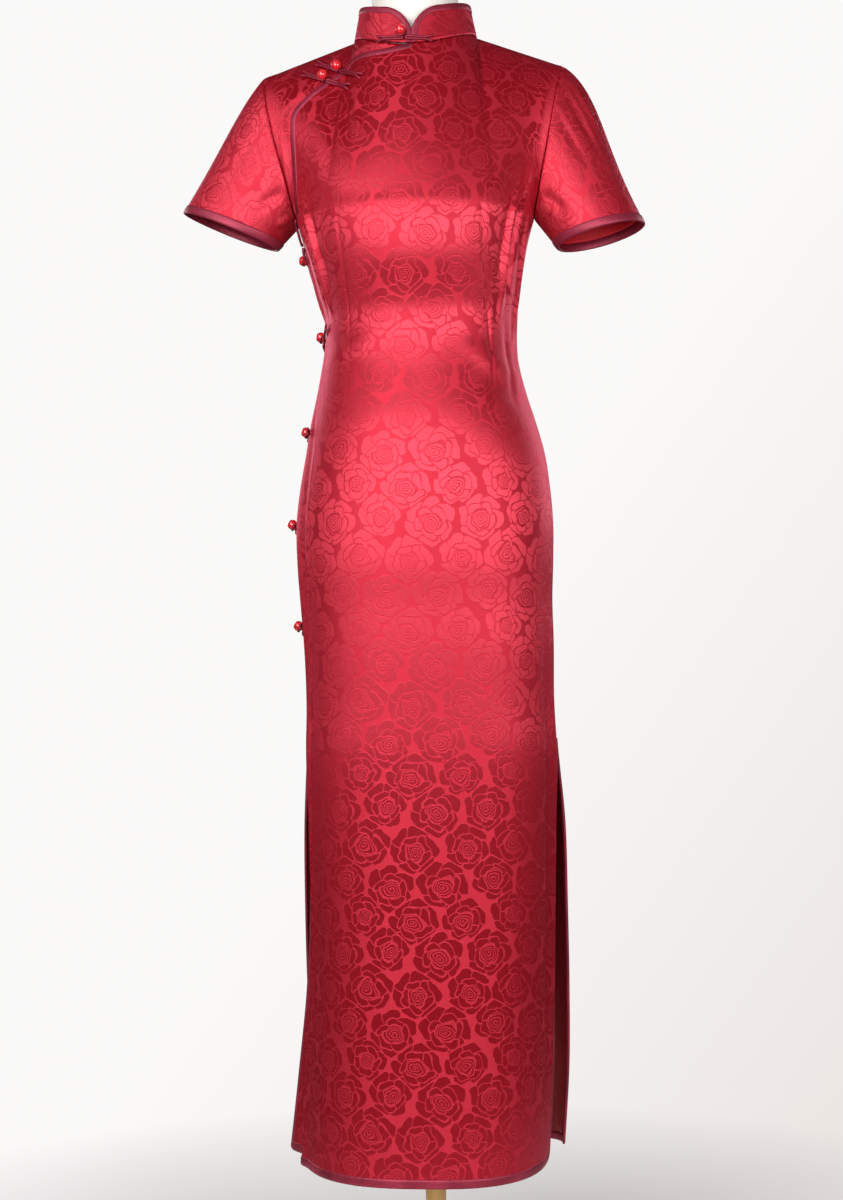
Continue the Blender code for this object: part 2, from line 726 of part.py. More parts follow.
def build_bindings(dress, satin, collection):
    skirt_binding("binding_front_skirt", dress.front, dress.front_n, satin, collection)
    skirt_binding("binding_back_skirt", dress.back, dress.back_n, satin, collection)
    side, opening = slice(SLIT_ROW, len(LEVELS) + 1), slice(len(LEVELS), -1)
    for name, rows in (("binding_side", side), ("binding_opening", opening)):
        lines, normals = dress.front[rows, :2].copy(), dress.front_n[rows, :2]
        lines[0, :, 2] += GAP
        trim(name, lines[:, 0], lines[:, 1], normals[:, 0], normals[:, 1], satin, collection)
    for sleeve in SLEEVES:
        grid, normals = dress.sleeves[sleeve.name], dress.sleeve_n[sleeve.name]
        above = grid[-1] + unit(grid[-2] - grid[-1]) * CUFF_BAND
        name = f"cuff_binding_{sleeve.name}"
        trim(name, grid[-1], above, normals[-1], normals[-1], satin, collection, closed=True)


# --- frog fastenings --------------------------------------------------------------------------

# Each frog's middle, as seen from the front (or, on the side seam, from the side), the way its
# cords run, the tilt of those cords below the horizontal and how far up them its bead is shifted.
Frog = namedtuple("Frog", "name x y z looking tilt shift")
FROGS = (
    Frog("collar", -0.008, None, 1.5135, "front", 4, 0.004),
    Frog("chest_upper", -0.0875, None, 1.4860, "front", 28, 0.005),
    Frog("chest_lower", -0.1030, None, 1.4740, "front", 26, 0.005),
    Frog("side_1", None, -0.004, 1.2840, "side", 58, -0.012),
    Frog("side_2", None, -0.004, 1.1720, "side", 28, 0.000),
    Frog("side_3", None, -0.004, 1.0590, "side", 12, 0.000),
    Frog("side_4", None, -0.002, 0.9500, "side", 8, 0.000),
    Frog("side_5", None, -0.004, 0.8300, "side", 14, 0.000),
)


def frog_frame(frog, ground):
    """The frog's middle on the cloth, its cords' direction, the direction across them, outward."""
    tilt = math.radians(frog.tilt)
    if frog.looking == "front":
        towards = np.array([0.0, 1.0, 0.0])
        start = np.array([frog.x, -0.5, frog.z])
        along = np.array([math.cos(tilt), 0.0, -math.sin(tilt)])
        across = np.array([math.sin(tilt), 0.0, math.cos(tilt)])
    else:
        towards = np.array([1.0, 0.0, 0.0])
        start = np.array([-0.5, frog.y, frog.z])
        along = np.array([0.0, math.cos(tilt), -math.sin(tilt)])
        across = np.array([0.0, math.sin(tilt), math.cos(tilt)])
    return ground.point(start, towards) - towards * 0.2, along, across, towards


def cord_pair(reach, way, flare):
    """A cord laid out to its tail and back, in the plane of the cloth, as (along, across) rows."""
    half = CORD_SPACE / 2
    there = [(0.0034, half), (0.010, half), (0.017, half), (reach - 0.004, half), (reach, half + flare)]
    head = [(0.0022, half * 0.5), (0.0022, -half * 0.5)]
    back = [(a, -b) for a, b in there]
    return [(way * a, b) for a, b in [*reversed(there), *head, *back]]


def lay_cord(flat, frame, ground, clearance):
    """Lays a flat route on the cloth. Each point is as high as the cloth is anywhere near it."""
    middle, along, across, towards = frame
    starts = [middle + along * a + across * b for a, b in flat]
    depths = []
    for start in starts:
        steps = [(i, j) for i in (-0.0022, 0, 0.0022) for j in (-0.0016, 0, 0.0016)]
        around = [start + along * i + across * j for i, j in steps]
        met = [(ground.point(point, towards), point) for point in around]
        depths.append(min(float((hit - point) @ towards) for hit, point in met if hit is not None))
    return [start + towards * (depth - clearance) for start, depth in zip(starts, depths)]


def build_frogs(cord, glass, collection, on):
    ground = Ground(on)
    for frog in FROGS:
        frame = frog_frame(frog, ground)
        for part, way in (("loop", -1), ("knot", 1)):
            flat = cord_pair(FROG_REACH, way, 0.0011)
            points = lay_cord(flat, frame, ground, CORD_RADIUS + 4 * GAP)
            tube(f"frog_{frog.name}_{part}", points, CORD_RADIUS, cord, collection)
        aside = CORD_SPACE / 2 + CORD_RADIUS + BEAD_RADIUS + GAP
        around = [(a - frog.shift, aside + b) for a in (-0.004, 0, 0.004) for b in (-0.004, 0, 0.004)]
        towards = frame[3]
        laid = np.array(lay_cord(around, frame, ground, BEAD_RADIUS + GAP))
        centre = laid[4] + towards * min((laid - laid[4]) @ towards)
        bead(f"frog_{frog.name}_bead", centre, glass, collection)


# --- the dress form ---------------------------------------------------------------------------

FORM_LEVELS = (0.890, 0.960, 1.030, 1.080, 1.140, 1.190, 1.240, 1.280)
FORM_UPS = (0.0, 0.15, 0.3, 0.45, 0.6, 0.72, 0.82, 0.90)
FORM_PLACES = [0.96 * i / 7 for i in range(-7, 8)]
FORM_SIDES = 2 * len(FORM_PLACES)


def form_ring(make_point):
    """A ring of points round the front and back, read from a function of face and place."""
    ring = [make_point(FRONT, place) for place in FORM_PLACES]
    return ring + [make_point(BACK, place) for place in reversed(FORM_PLACES)]


def neck_ring(height, width, depth):
    """An oval ring whose points run in step with the rings of the torso."""
    turns = [math.pi * place / 2 for place in FORM_PLACES]
    front = [(width * math.sin(turn), NECK_MIDDLE - depth * math.cos(turn), height) for turn in turns]
    back = [(width * math.sin(turn), NECK_MIDDLE + depth * math.cos(turn), height) for turn in turns]
    return front + back[::-1]


def form_grid():
    """Rings of the form: the dress's own shape moved inwards, then a plain neck."""
    def level(height):
        return form_ring(lambda face, place: plain_level_point(face, place, height))

    rings = [level(height) for height in (FORM_BOTTOM_Z, FORM_BOTTOM_Z + 0.012, *FORM_LEVELS)]
    for up in FORM_UPS:
        rings.append(form_ring(lambda face, place, up=up: chest_point(face, place, up)))
    points = np.array(rings)
    middle = points.mean(axis=1, keepdims=True)
    normals = grid_normals(points, points - middle + np.array([0, 0, 0.02]), closed=True)
    points -= normals * FORM_CLEAR
    centre = points[0].mean(axis=0)
    points[0] = centre + (points[1] - centre) * np.array([0.9, 0.88, 0])
    necks = [
        neck_ring(NECK_SIDE_Z - 0.020, FORM_NECK_WIDTH + 0.008, FORM_NECK_DEPTH - 0.004),
        neck_ring(NECK_SIDE_Z + 0.008, FORM_NECK_WIDTH, FORM_NECK_DEPTH),
        neck_ring(FORM_TOP_Z - 0.008, FORM_NECK_WIDTH, FORM_NECK_DEPTH),
        neck_ring(FORM_TOP_Z, FORM_NECK_WIDTH - 0.008, FORM_NECK_DEPTH - 0.008),
    ]
    return np.concatenate([points, necks])


def build_form(cover, metal, collection):
    """The stuffed torso and neck, its pole and its round base."""
    mesh = bmesh.new()
    rings = [[mesh.verts.new(point) for point in ring] for ring in form_grid()]
    for low, high in zip(rings, rings[1:]):
        for i in range(FORM_SIDES):
            j = (i + 1) % FORM_SIDES
            mesh.faces.new([low[i], low[j], high[j], high[i]])
    mesh.faces.new(rings[0][::-1])
    mesh.faces.new(rings[-1])
    bmesh.ops.triangulate(mesh, faces=mesh.faces[:])
    if mesh.calc_volume(signed=True) < 0:
        bmesh.ops.reverse_faces(mesh, faces=mesh.faces[:])
    data = bpy.data.meshes.new("form_body")
    mesh.to_mesh(data)
    mesh.free()
    data.shade_smooth()
    data.set_sharp_from_angle(angle=math.radians(50))
    add_object("form_body", data, cover, collection)
    pole_top, pole_foot = FORM_BOTTOM_Z - GAP, BASE_HEIGHT + GAP
    socket = [(POLE_RADIUS + 0.010, pole_foot + 0.030), (POLE_RADIUS + 0.014, pole_foot)]
    profile = [(0, pole_top), (POLE_RADIUS, pole_top), (POLE_RADIUS, pole_foot + 0.034), *socket]
    turned("form_pole", [*profile, (0, pole_foot)], metal, collection, 24)
    rim = [(BASE_RADIUS - 0.010, BASE_HEIGHT), (BASE_RADIUS - 0.003, BASE_HEIGHT - 0.003)]
    rim += [(BASE_RADIUS, BASE_HEIGHT - 0.008), (BASE_RADIUS, 0.0)]
    turned("form_base", [(0, BASE_HEIGHT), *rim, (0, 0)], metal, collection, 48)


def clear_scene():
    for obj in list(bpy.data.objects):
        bpy.data.objects.remove(obj, do_unlink=True)


def main():
    clear_scene()
    collection = bpy.data.collections.new("cheongsam_on_dress_form")
    bpy.context.scene.collection.children.link(collection)
    cloth = colour_material("rose_jacquard_satin", (0.50, 0.03, 0.065), 0.38)
    lining = colour_material("red_lining", (0.48, 0.005, 0.016), 0.6)
    satin = colour_material("maroon_satin_binding", (0.16, 0.02, 0.055), 0.3)
    glass = colour_material("red_glass_bead", (0.55, 0.008, 0.02), 0.08)
    cover = colour_material("form_cover", (0.86, 0.84, 0.80), 0.7)
    metal = colour_material("honey_gold_metal", (0.62, 0.40, 0.16), 0.3, 1.0)
    dress = Dress()
    build_panels(dress, cloth, lining, collection)
    build_collar(cloth, satin, collection)
    build_bindings(dress, satin, collection)
    bpy.context.view_layer.update()
    ground = [obj for obj in collection.objects if not obj.name.startswith(("sleeve", "cuff"))]
    build_frogs(satin, glass, collection, ground)
    build_form(cover, metal, collection)


if __name__ == "__main__":
    main()
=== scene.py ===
"""The looks of a long cheongsam of jacquard satin, worn by a limbless dress form.

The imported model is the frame. Each cloth piece is cut again here from the same sizes, finely, as
a thin shell with its creases, and takes the finish of its own cloth. Metres, +Z up, and the dress
faces -Y.
"""

import logging
import math
from dataclasses import dataclass, field
from enum import Enum
from typing import Callable, ClassVar, Optional, Protocol, Sequence

import bmesh
import bpy
import numpy as np
from mathutils import Matrix, Vector
from mathutils.bvhtree import BVHTree

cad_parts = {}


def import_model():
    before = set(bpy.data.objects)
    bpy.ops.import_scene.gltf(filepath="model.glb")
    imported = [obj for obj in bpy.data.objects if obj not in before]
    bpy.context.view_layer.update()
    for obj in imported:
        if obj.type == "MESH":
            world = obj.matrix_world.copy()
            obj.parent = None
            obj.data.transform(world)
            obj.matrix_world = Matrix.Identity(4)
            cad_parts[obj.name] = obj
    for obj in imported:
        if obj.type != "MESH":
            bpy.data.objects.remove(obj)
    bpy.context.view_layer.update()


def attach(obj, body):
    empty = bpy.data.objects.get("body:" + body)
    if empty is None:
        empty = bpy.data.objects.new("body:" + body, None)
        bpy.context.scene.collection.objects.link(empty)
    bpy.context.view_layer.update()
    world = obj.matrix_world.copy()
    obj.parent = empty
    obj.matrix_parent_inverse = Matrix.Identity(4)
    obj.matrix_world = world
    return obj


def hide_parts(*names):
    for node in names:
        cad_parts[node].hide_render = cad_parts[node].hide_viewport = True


log = logging.getLogger("cheongsam")
logging.basicConfig(level=logging.INFO, format="%(name)s: %(message)s")

ROOT = "root"
UV_NAME = "cloth"
# The thickness of the satin with its interlining, and the width of the bindings.
SATIN = 0.0016
EDGE_WIDTH = 0.010
# A lining starts just past the inner fold of the binding on its edge.
LINING_INSET = EDGE_WIDTH + 0.0006


class Face(Enum):
    """The two faces of the dress."""

    FRONT = -1
    BACK = 1


class Side(Enum):
    """The two sides of the dress, as seen from its front."""

    LEFT = -1
    RIGHT = 1


# --- arithmetic -------------------------------------------------------------------------------


def hermite(xs: Sequence[float], ys: Sequence[float], at: np.ndarray) -> np.ndarray:
    """A smooth curve through points, read at many places.

    Args:
        xs: Rising places of the points.
        ys: Values at those places.
        at: Places to read.

    Returns:
        The values there, held at the ends.
    """
    xs, ys = np.asarray(xs, float), np.asarray(ys, float)
    at = np.clip(np.asarray(at, float), xs[0], xs[-1])
    slopes = np.gradient(ys, xs)
    i = np.clip(np.searchsorted(xs, at) - 1, 0, len(xs) - 2)
    step = xs[i + 1] - xs[i]
    t = (at - xs[i]) / step
    rise = ys[i] * (2 * t**3 - 3 * t**2 + 1) + ys[i + 1] * (3 * t**2 - 2 * t**3)
    return rise + step * (slopes[i] * (t**3 - 2 * t**2 + t) + slopes[i + 1] * (t**3 - t**2))


def ease(t: np.ndarray) -> np.ndarray:
    """Runs smoothly from 0 to 1 as t does."""
    t = np.clip(t, 0.0, 1.0)
    return t * t * (3 - 2 * t)


def unit(vectors: np.ndarray) -> np.ndarray:
    """The vectors at length one."""
    vectors = np.asarray(vectors, float)
    return vectors / np.maximum(np.linalg.norm(vectors, axis=-1, keepdims=True), 1e-12)


def travelled(points: np.ndarray, axis: int = 0) -> np.ndarray:
    """The distance run along points, from 0, down a table's rows or across its columns."""
    steps = np.linalg.norm(np.diff(points, axis=axis), axis=-1)
    start = np.zeros_like(np.take(steps, [0], axis))
    return np.concatenate([start, np.cumsum(steps, axis=axis)], axis=axis)


def smoothed(values: np.ndarray, reach: int) -> np.ndarray:
    """Each column of a table, averaged over the rows within reach."""
    padded = np.pad(values, ((reach, reach), (0, 0)), mode="edge")
    kernel = np.ones(2 * reach + 1) / (2 * reach + 1)
    return np.column_stack([np.convolve(line, kernel, mode="valid") for line in padded.T])


def read_tables(tables: Sequence[np.ndarray], row: np.ndarray, col: np.ndarray) -> list[np.ndarray]:
    """Tables of vectors, read between their rows and columns."""
    r, c = row.astype(int), col.astype(int)
    down, over = (row - r)[..., None], (col - c)[..., None]
    return [
        (t[r, c] * (1 - down) + t[r + 1, c] * down) * (1 - over)
        + (t[r, c + 1] * (1 - down) + t[r + 1, c + 1] * down) * over
        for t in tables
    ]


def column(rows: Sequence, name: str, height: np.ndarray) -> np.ndarray:
    """One named field of a table of rows that have a height, read smoothly at heights."""
    ordered = sorted(rows, key=lambda row: row.height)
    return hermite([row.height for row in ordered], [getattr(row, name) for row in ordered], height)


# --- the sizes of the dress -------------------------------------------------------------------


@dataclass(frozen=True)
class Level:
    """Half widths from the centre line to each side seam, and depths, at a height."""

    height: float
    left: float
    right: float
    front: float
    back: float


@dataclass(frozen=True)
class SkirtLevel:
    """A skirt panel below the slits. An edge is how far behind the centre its side edge hangs."""

    height: float
    left: float
    right: float
    depth: float
    left_edge: float
    right_edge: float


@dataclass(frozen=True)
class Fold:
    """A large fold of the front's left half that grows down to the hem."""

    top_z: float
    top_place: float
    hem_place: float
    width: float
    top_rise: float
    hem_rise: float
    growth: float


@dataclass(frozen=True)
class SectionLevel:
    """How full the corners of a cross-section are at a height: 2 is an ellipse."""

    height: float
    power: float


@dataclass(frozen=True)
class ArmholeLevel:
    """Half widths of the armhole seams at a height."""

    height: float
    left: float
    right: float


@dataclass(frozen=True)
class OpeningPoint:
    """A point of the slanted opening: a share of the way up, and of the way to the armhole."""

    up: float
    place: float


@dataclass(frozen=True)
class Crease:
    """A soft ridge or trough between two points of a face, by share of its half and level.

    A rise over 0 is a ridge. A bow bends the crease sideways, in metres, at its middle.
    """

    place: float
    level: float
    end_place: float
    end_level: float
    width: float
    rise: float
    bow: float = 0.0
    fade: ClassVar[float] = 0.35

    def rise_between(
        self, start: np.ndarray, end: np.ndarray, x: np.ndarray, z: np.ndarray
    ) -> np.ndarray:
        """Its height at flat points (x, z), when it runs from start to end.

        Args:
            start: Its flat start, in metres.
            end: Its flat end.
            x: The points' places across.
            z: The points' places up.

        Returns:
            The heights, which fade out at both ends.
        """
        length = np.linalg.norm(end - start)
        run = (end - start) / length
        along = ((x - start[0]) * run[0] + (z - start[1]) * run[1]) / length
        away = (x - start[0]) * run[1] - (z - start[1]) * run[0]
        away = away - self.bow * 4 * along * (1 - along)
        fade = ease(along / self.fade) * ease((1 - along) / self.fade)
        return self.rise * fade * np.exp(-((away / self.width) ** 2))


@dataclass
class DressShape:
    """Where the cloth of the dress lies, worked out from short tables of sizes."""

    hem: float = 0.200
    slit: float = 0.700
    armpit: float = 1.312
    shoulder: float = 1.4895
    neck_side: float = 1.527
    neck_front: float = 1.507
    neck_back: float = 1.537
    seam_y: float = 0.005
    shoulder_y: float = 0.004
    armhole_front: float = 0.047
    armhole_back: float = 0.052
    neck_half: float = 0.0725
    neck_front_depth: float = 0.062
    neck_back_depth: float = 0.066
    front_bend: float = 1.25
    front_shoulder_bend: float = 0.95
    back_bend: float = 1.8
    back_shoulder_bend: float = 0.7
    armhole_pull: float = 3.2
    opening_lead: float = 0.03
    body: tuple = (
        Level(1.312, 0.1420, 0.1355, 0.121, 0.103),
        Level(1.285, 0.1345, 0.1280, 0.120, 0.100),
        Level(1.255, 0.1257, 0.1225, 0.113, 0.096),
        Level(1.225, 0.1180, 0.1175, 0.104, 0.092),
        Level(1.195, 0.1105, 0.1125, 0.097, 0.087),
        Level(1.165, 0.1132, 0.1122, 0.095, 0.086),
        Level(1.135, 0.1180, 0.1165, 0.097, 0.089),
        Level(1.105, 0.1235, 0.1240, 0.101, 0.095),
        Level(1.075, 0.1300, 0.1333, 0.105, 0.102),
        Level(1.035, 0.1372, 0.1440, 0.108, 0.109),
        Level(1.000, 0.1440, 0.1488, 0.109, 0.113),
        Level(0.960, 0.1494, 0.1520, 0.109, 0.114),
        Level(0.910, 0.1494, 0.1514, 0.108, 0.113),
        Level(0.865, 0.1465, 0.1496, 0.106, 0.110),
        Level(0.815, 0.1430, 0.1503, 0.105, 0.107),
        Level(0.742, 0.1418, 0.1497, 0.104, 0.105),
        Level(0.700, 0.1435, 0.1515, 0.104, 0.105),
    )
    front_skirt: tuple = (
        SkirtLevel(0.600, 0.1430, 0.1480, 0.103, 0.014, 0.012),
        SkirtLevel(0.500, 0.1425, 0.1450, 0.102, 0.026, 0.022),
        SkirtLevel(0.400, 0.1460, 0.1425, 0.102, 0.040, 0.034),
        SkirtLevel(0.300, 0.1535, 0.1400, 0.102, 0.058, 0.046),
        SkirtLevel(0.200, 0.1600, 0.1330, 0.102, 0.073, 0.055),
    )
    back_skirt: tuple = (
        SkirtLevel(0.600, 0.1510, 0.1590, 0.109, 0.022, 0.022),
        SkirtLevel(0.500, 0.1545, 0.1600, 0.115, 0.040, 0.040),
        SkirtLevel(0.400, 0.1560, 0.1600, 0.122, 0.058, 0.058),
        SkirtLevel(0.300, 0.1550, 0.1580, 0.130, 0.075, 0.075),
        SkirtLevel(0.200, 0.1500, 0.1510, 0.138, 0.092, 0.092),
    )
    sections: tuple = (
        SectionLevel(0.20, 2.65),
        SectionLevel(0.70, 2.50),
        SectionLevel(1.00, 2.35),
        SectionLevel(1.20, 2.15),
        SectionLevel(1.32, 2.30),
    )
    folds: tuple = (
        Fold(1.230, 0.83, 0.735, 0.050, 0.0020, 0.0060, 1.2),
        Fold(1.150, 0.92, 0.850, 0.070, -0.0010, -0.0060, 1.6),
        Fold(0.700, 1.00, 1.000, 0.110, 0.0000, 0.0220, 2.0),
    )
    armhole: tuple = (
        ArmholeLevel(1.312, 0.1420, 0.1355),
        ArmholeLevel(1.324, 0.1455, 0.1385),
        ArmholeLevel(1.346, 0.1500, 0.1435),
        ArmholeLevel(1.378, 0.1575, 0.1505),
        ArmholeLevel(1.406, 0.1645, 0.1560),
        ArmholeLevel(1.434, 0.1705, 0.1612),
        ArmholeLevel(1.457, 0.1755, 0.1655),
        ArmholeLevel(1.4895, 0.1800, 0.1735),
    )
    opening: tuple = (
        OpeningPoint(0.00, 0.970),
        OpeningPoint(0.13, 0.905),
        OpeningPoint(0.38, 0.855),
        OpeningPoint(0.53, 0.835),
        OpeningPoint(0.61, 0.815),
        OpeningPoint(0.68, 0.730),
        OpeningPoint(0.75, 0.620),
        OpeningPoint(0.82, 0.490),
        OpeningPoint(0.90, 0.325),
        OpeningPoint(0.96, 0.125),
        OpeningPoint(1.00, 0.000),
    )

    @property
    def rise(self) -> float:
        """The height from the armpit to the shoulder point."""
        return self.shoulder - self.armpit

    def levels(self, low_rows: int, high_rows: int) -> np.ndarray:
        """Levels from the hem to the armpit, and on to the shoulder."""
        low = np.linspace(self.hem, self.armpit, low_rows + 1)
        return np.concatenate([low, self.armpit + np.linspace(0, self.rise, high_rows + 1)[1:]])

    def skirt_rows(self, face: Face) -> tuple:
        """A skirt's table with the levels above its slits, so that the two join smoothly."""
        depth = "front" if face is Face.FRONT else "back"
        shared = [
            SkirtLevel(
                row.height, row.left, row.right, getattr(row, depth), self.seam_y, self.seam_y
            )
            for row in self.body
            if row.height < 0.8
        ]
        return (*shared, *(self.front_skirt if face is Face.FRONT else self.back_skirt))

    def half_section(self, face: Face, side: Side, height: float) -> np.ndarray:
        """Points from the centre line to the side edge of a panel at a height, as (x, y) rows."""
        reach_name = "left" if side is Side.LEFT else "right"
        if height >= self.slit:
            reach = column(self.body, reach_name, height)
            depth = column(self.body, "front" if face is Face.FRONT else "back", height)
            edge = self.seam_y * -face.value
        else:
            skirt = self.skirt_rows(face)
            reach = column(skirt, reach_name, height)
            depth = column(skirt, "depth", height)
            edge = column(skirt, reach_name + "_edge", height) * -face.value
        heights = [row.height for row in self.sections]
        power = 2 / float(np.interp(height, heights, [row.power for row in self.sections]))
        angle = np.linspace(0, math.pi / 2, 161)
        x = reach * np.sin(angle) ** power
        y = (depth + edge) * np.cos(angle) ** power - edge
        return np.column_stack([side.value * x, face.value * y])

    def fold_rise(self, places: np.ndarray, height: float) -> np.ndarray:
        """How far the large folds push the front's left half out at a height."""
        rise = np.zeros_like(places)
        for fold in self.folds:
            if height >= fold.top_z:
                continue
            down = (fold.top_z - height) / (fold.top_z - self.hem)
            middle = fold.top_place + (fold.hem_place - fold.top_place) * down
            most = fold.top_rise * ease(down * 6)
            most = most + (fold.hem_rise - fold.top_rise) * down**fold.growth
            rise = rise + most * np.exp(-(((places - middle) / fold.width) ** 2))
        return rise

    def level_row(self, face: Face, height: float, places: np.ndarray) -> np.ndarray:
        """Points of a panel at a height below the armpits. Places run from -1, left, to 1."""
        row = np.empty((len(places), 3))
        row[:, 2] = height
        for side in Side:
            mine = places < 0 if side is Side.LEFT else places >= 0
            curve = self.half_section(face, side, height)
            along = travelled(curve) / travelled(curve)[-1]
            share = np.abs(places[mine])
            read = lambda s: np.column_stack([np.interp(s, along, curve[:, i]) for i in (0, 1)])
            flat = read(share)
            if face is Face.FRONT and side is Side.LEFT:
                run = read(np.minimum(share + 0.01, 1)) - read(np.maximum(share - 0.01, 0))
                outward = unit(np.column_stack([run[:, 1], -run[:, 0]]))
                outward *= np.sign((outward * flat).sum(axis=1, keepdims=True))
                flat = flat + outward * self.fold_rise(share, height)[:, None]
            row[mine, :2] = flat
        return row

    def armhole_seam(self, face: Face, side: Side, up: np.ndarray) -> np.ndarray:
        """Points of the armhole seam, from the armpit (0) to the shoulder point (1)."""
        height = self.armpit + self.rise * (1 - np.cos(math.pi * up)) / 2
        x = column(self.armhole, "left" if side is Side.LEFT else "right", height)
        depth = self.armhole_front if face is Face.FRONT else self.armhole_back
        middle = self.seam_y + (self.shoulder_y - self.seam_y) * up
        return np.column_stack(
            [side.value * x, middle + face.value * depth * np.sin(math.pi * up), height]
        )

    def neckline(self, face: Face, places: np.ndarray) -> np.ndarray:
        """Points of the neckline. Places run from -1 at the left side of the neck to 1."""
        turn = places * math.pi / 2
        front = face is Face.FRONT
        depth = self.neck_front_depth if front else self.neck_back_depth
        height = self.neck_front if front else self.neck_back
        y = face.value * (depth + self.shoulder_y * -face.value) * np.cos(turn) + self.shoulder_y
        z = height + (self.neck_side - height) * np.sin(turn) ** 2
        return np.column_stack([self.neck_half * np.sin(turn), y, z])

    def top_edge(self, face: Face, places: np.ndarray) -> np.ndarray:
        """The upper edge of a face: a shoulder, the neckline and the other shoulder."""
        edge = self.neckline(face, np.clip(places * 2, -1, 1))
        for side in Side:
            out = np.clip((places * side.value - 0.5) * 2, 0, 1)[:, None]
            end = self.armhole_seam(face, side, np.array([1.0]))
            corner = self.neckline(face, np.array([float(side.value)]))
            edge = np.where(out > 0, corner * (1 - out) + end * out, edge)
        return edge

    def chest_row(
        self, face: Face, places: np.ndarray, up: float, bottom: np.ndarray
    ) -> np.ndarray:
        """Points between armpits and shoulders: a patch spanned by its four edges.

        Args:
            face: Front or back.
            places: Shares from the centre to the armholes, -1 to 1.
            up: Share of the way from the armpit to the upper edge.
            bottom: The face's points at the armpit level, at the same places.

        Returns:
            The points.
        """
        top = self.top_edge(face, places)
        shoulder = ease((np.abs(places) - 0.25) / 0.5)
        if face is Face.FRONT:
            bend = self.front_bend + self.front_shoulder_bend * shoulder
        else:
            bend = self.back_bend + self.back_shoulder_bend * shoulder
        point = bottom * (1 - up) + top * up
        point[:, 1] = bottom[:, 1] + (top[:, 1] - bottom[:, 1]) * up**bend
        for side in Side:
            mine = places < 0 if side is Side.LEFT else places >= 0
            edge, low, high = (
                self.armhole_seam(face, side, np.array([u]))[0] for u in (up, 0.0, 1.0)
            )
            straight = np.tile(low * (1 - up) + high * up, (len(places), 1))
            straight[:, 1] = low[1] + (high[1] - low[1]) * up**bend
            lift = (np.abs(places) ** self.armhole_pull)[:, None] * (edge - straight)
            point = np.where(mine[:, None], point + lift, point)
        return point

    def opening_place(self, up: np.ndarray) -> np.ndarray:
        """The place of the opening's edge, which leaves the side seam at the armpit."""
        place = hermite([p.up for p in self.opening], [p.place for p in self.opening], up)
        return -(place + self.opening_lead * (1 - ease(up / 0.05)))


# --- maps of the cloth ------------------------------------------------------------------------

# Points, outward normals and flat places.
Sampled = tuple[np.ndarray, np.ndarray, np.ndarray]


class ClothMap(Protocol):
    """Anything that gives points, outward normals and flat cloth places for two coordinates."""

    def sample(self, first: np.ndarray, second: np.ndarray) -> Sampled:
        """Points, normals and flat places."""


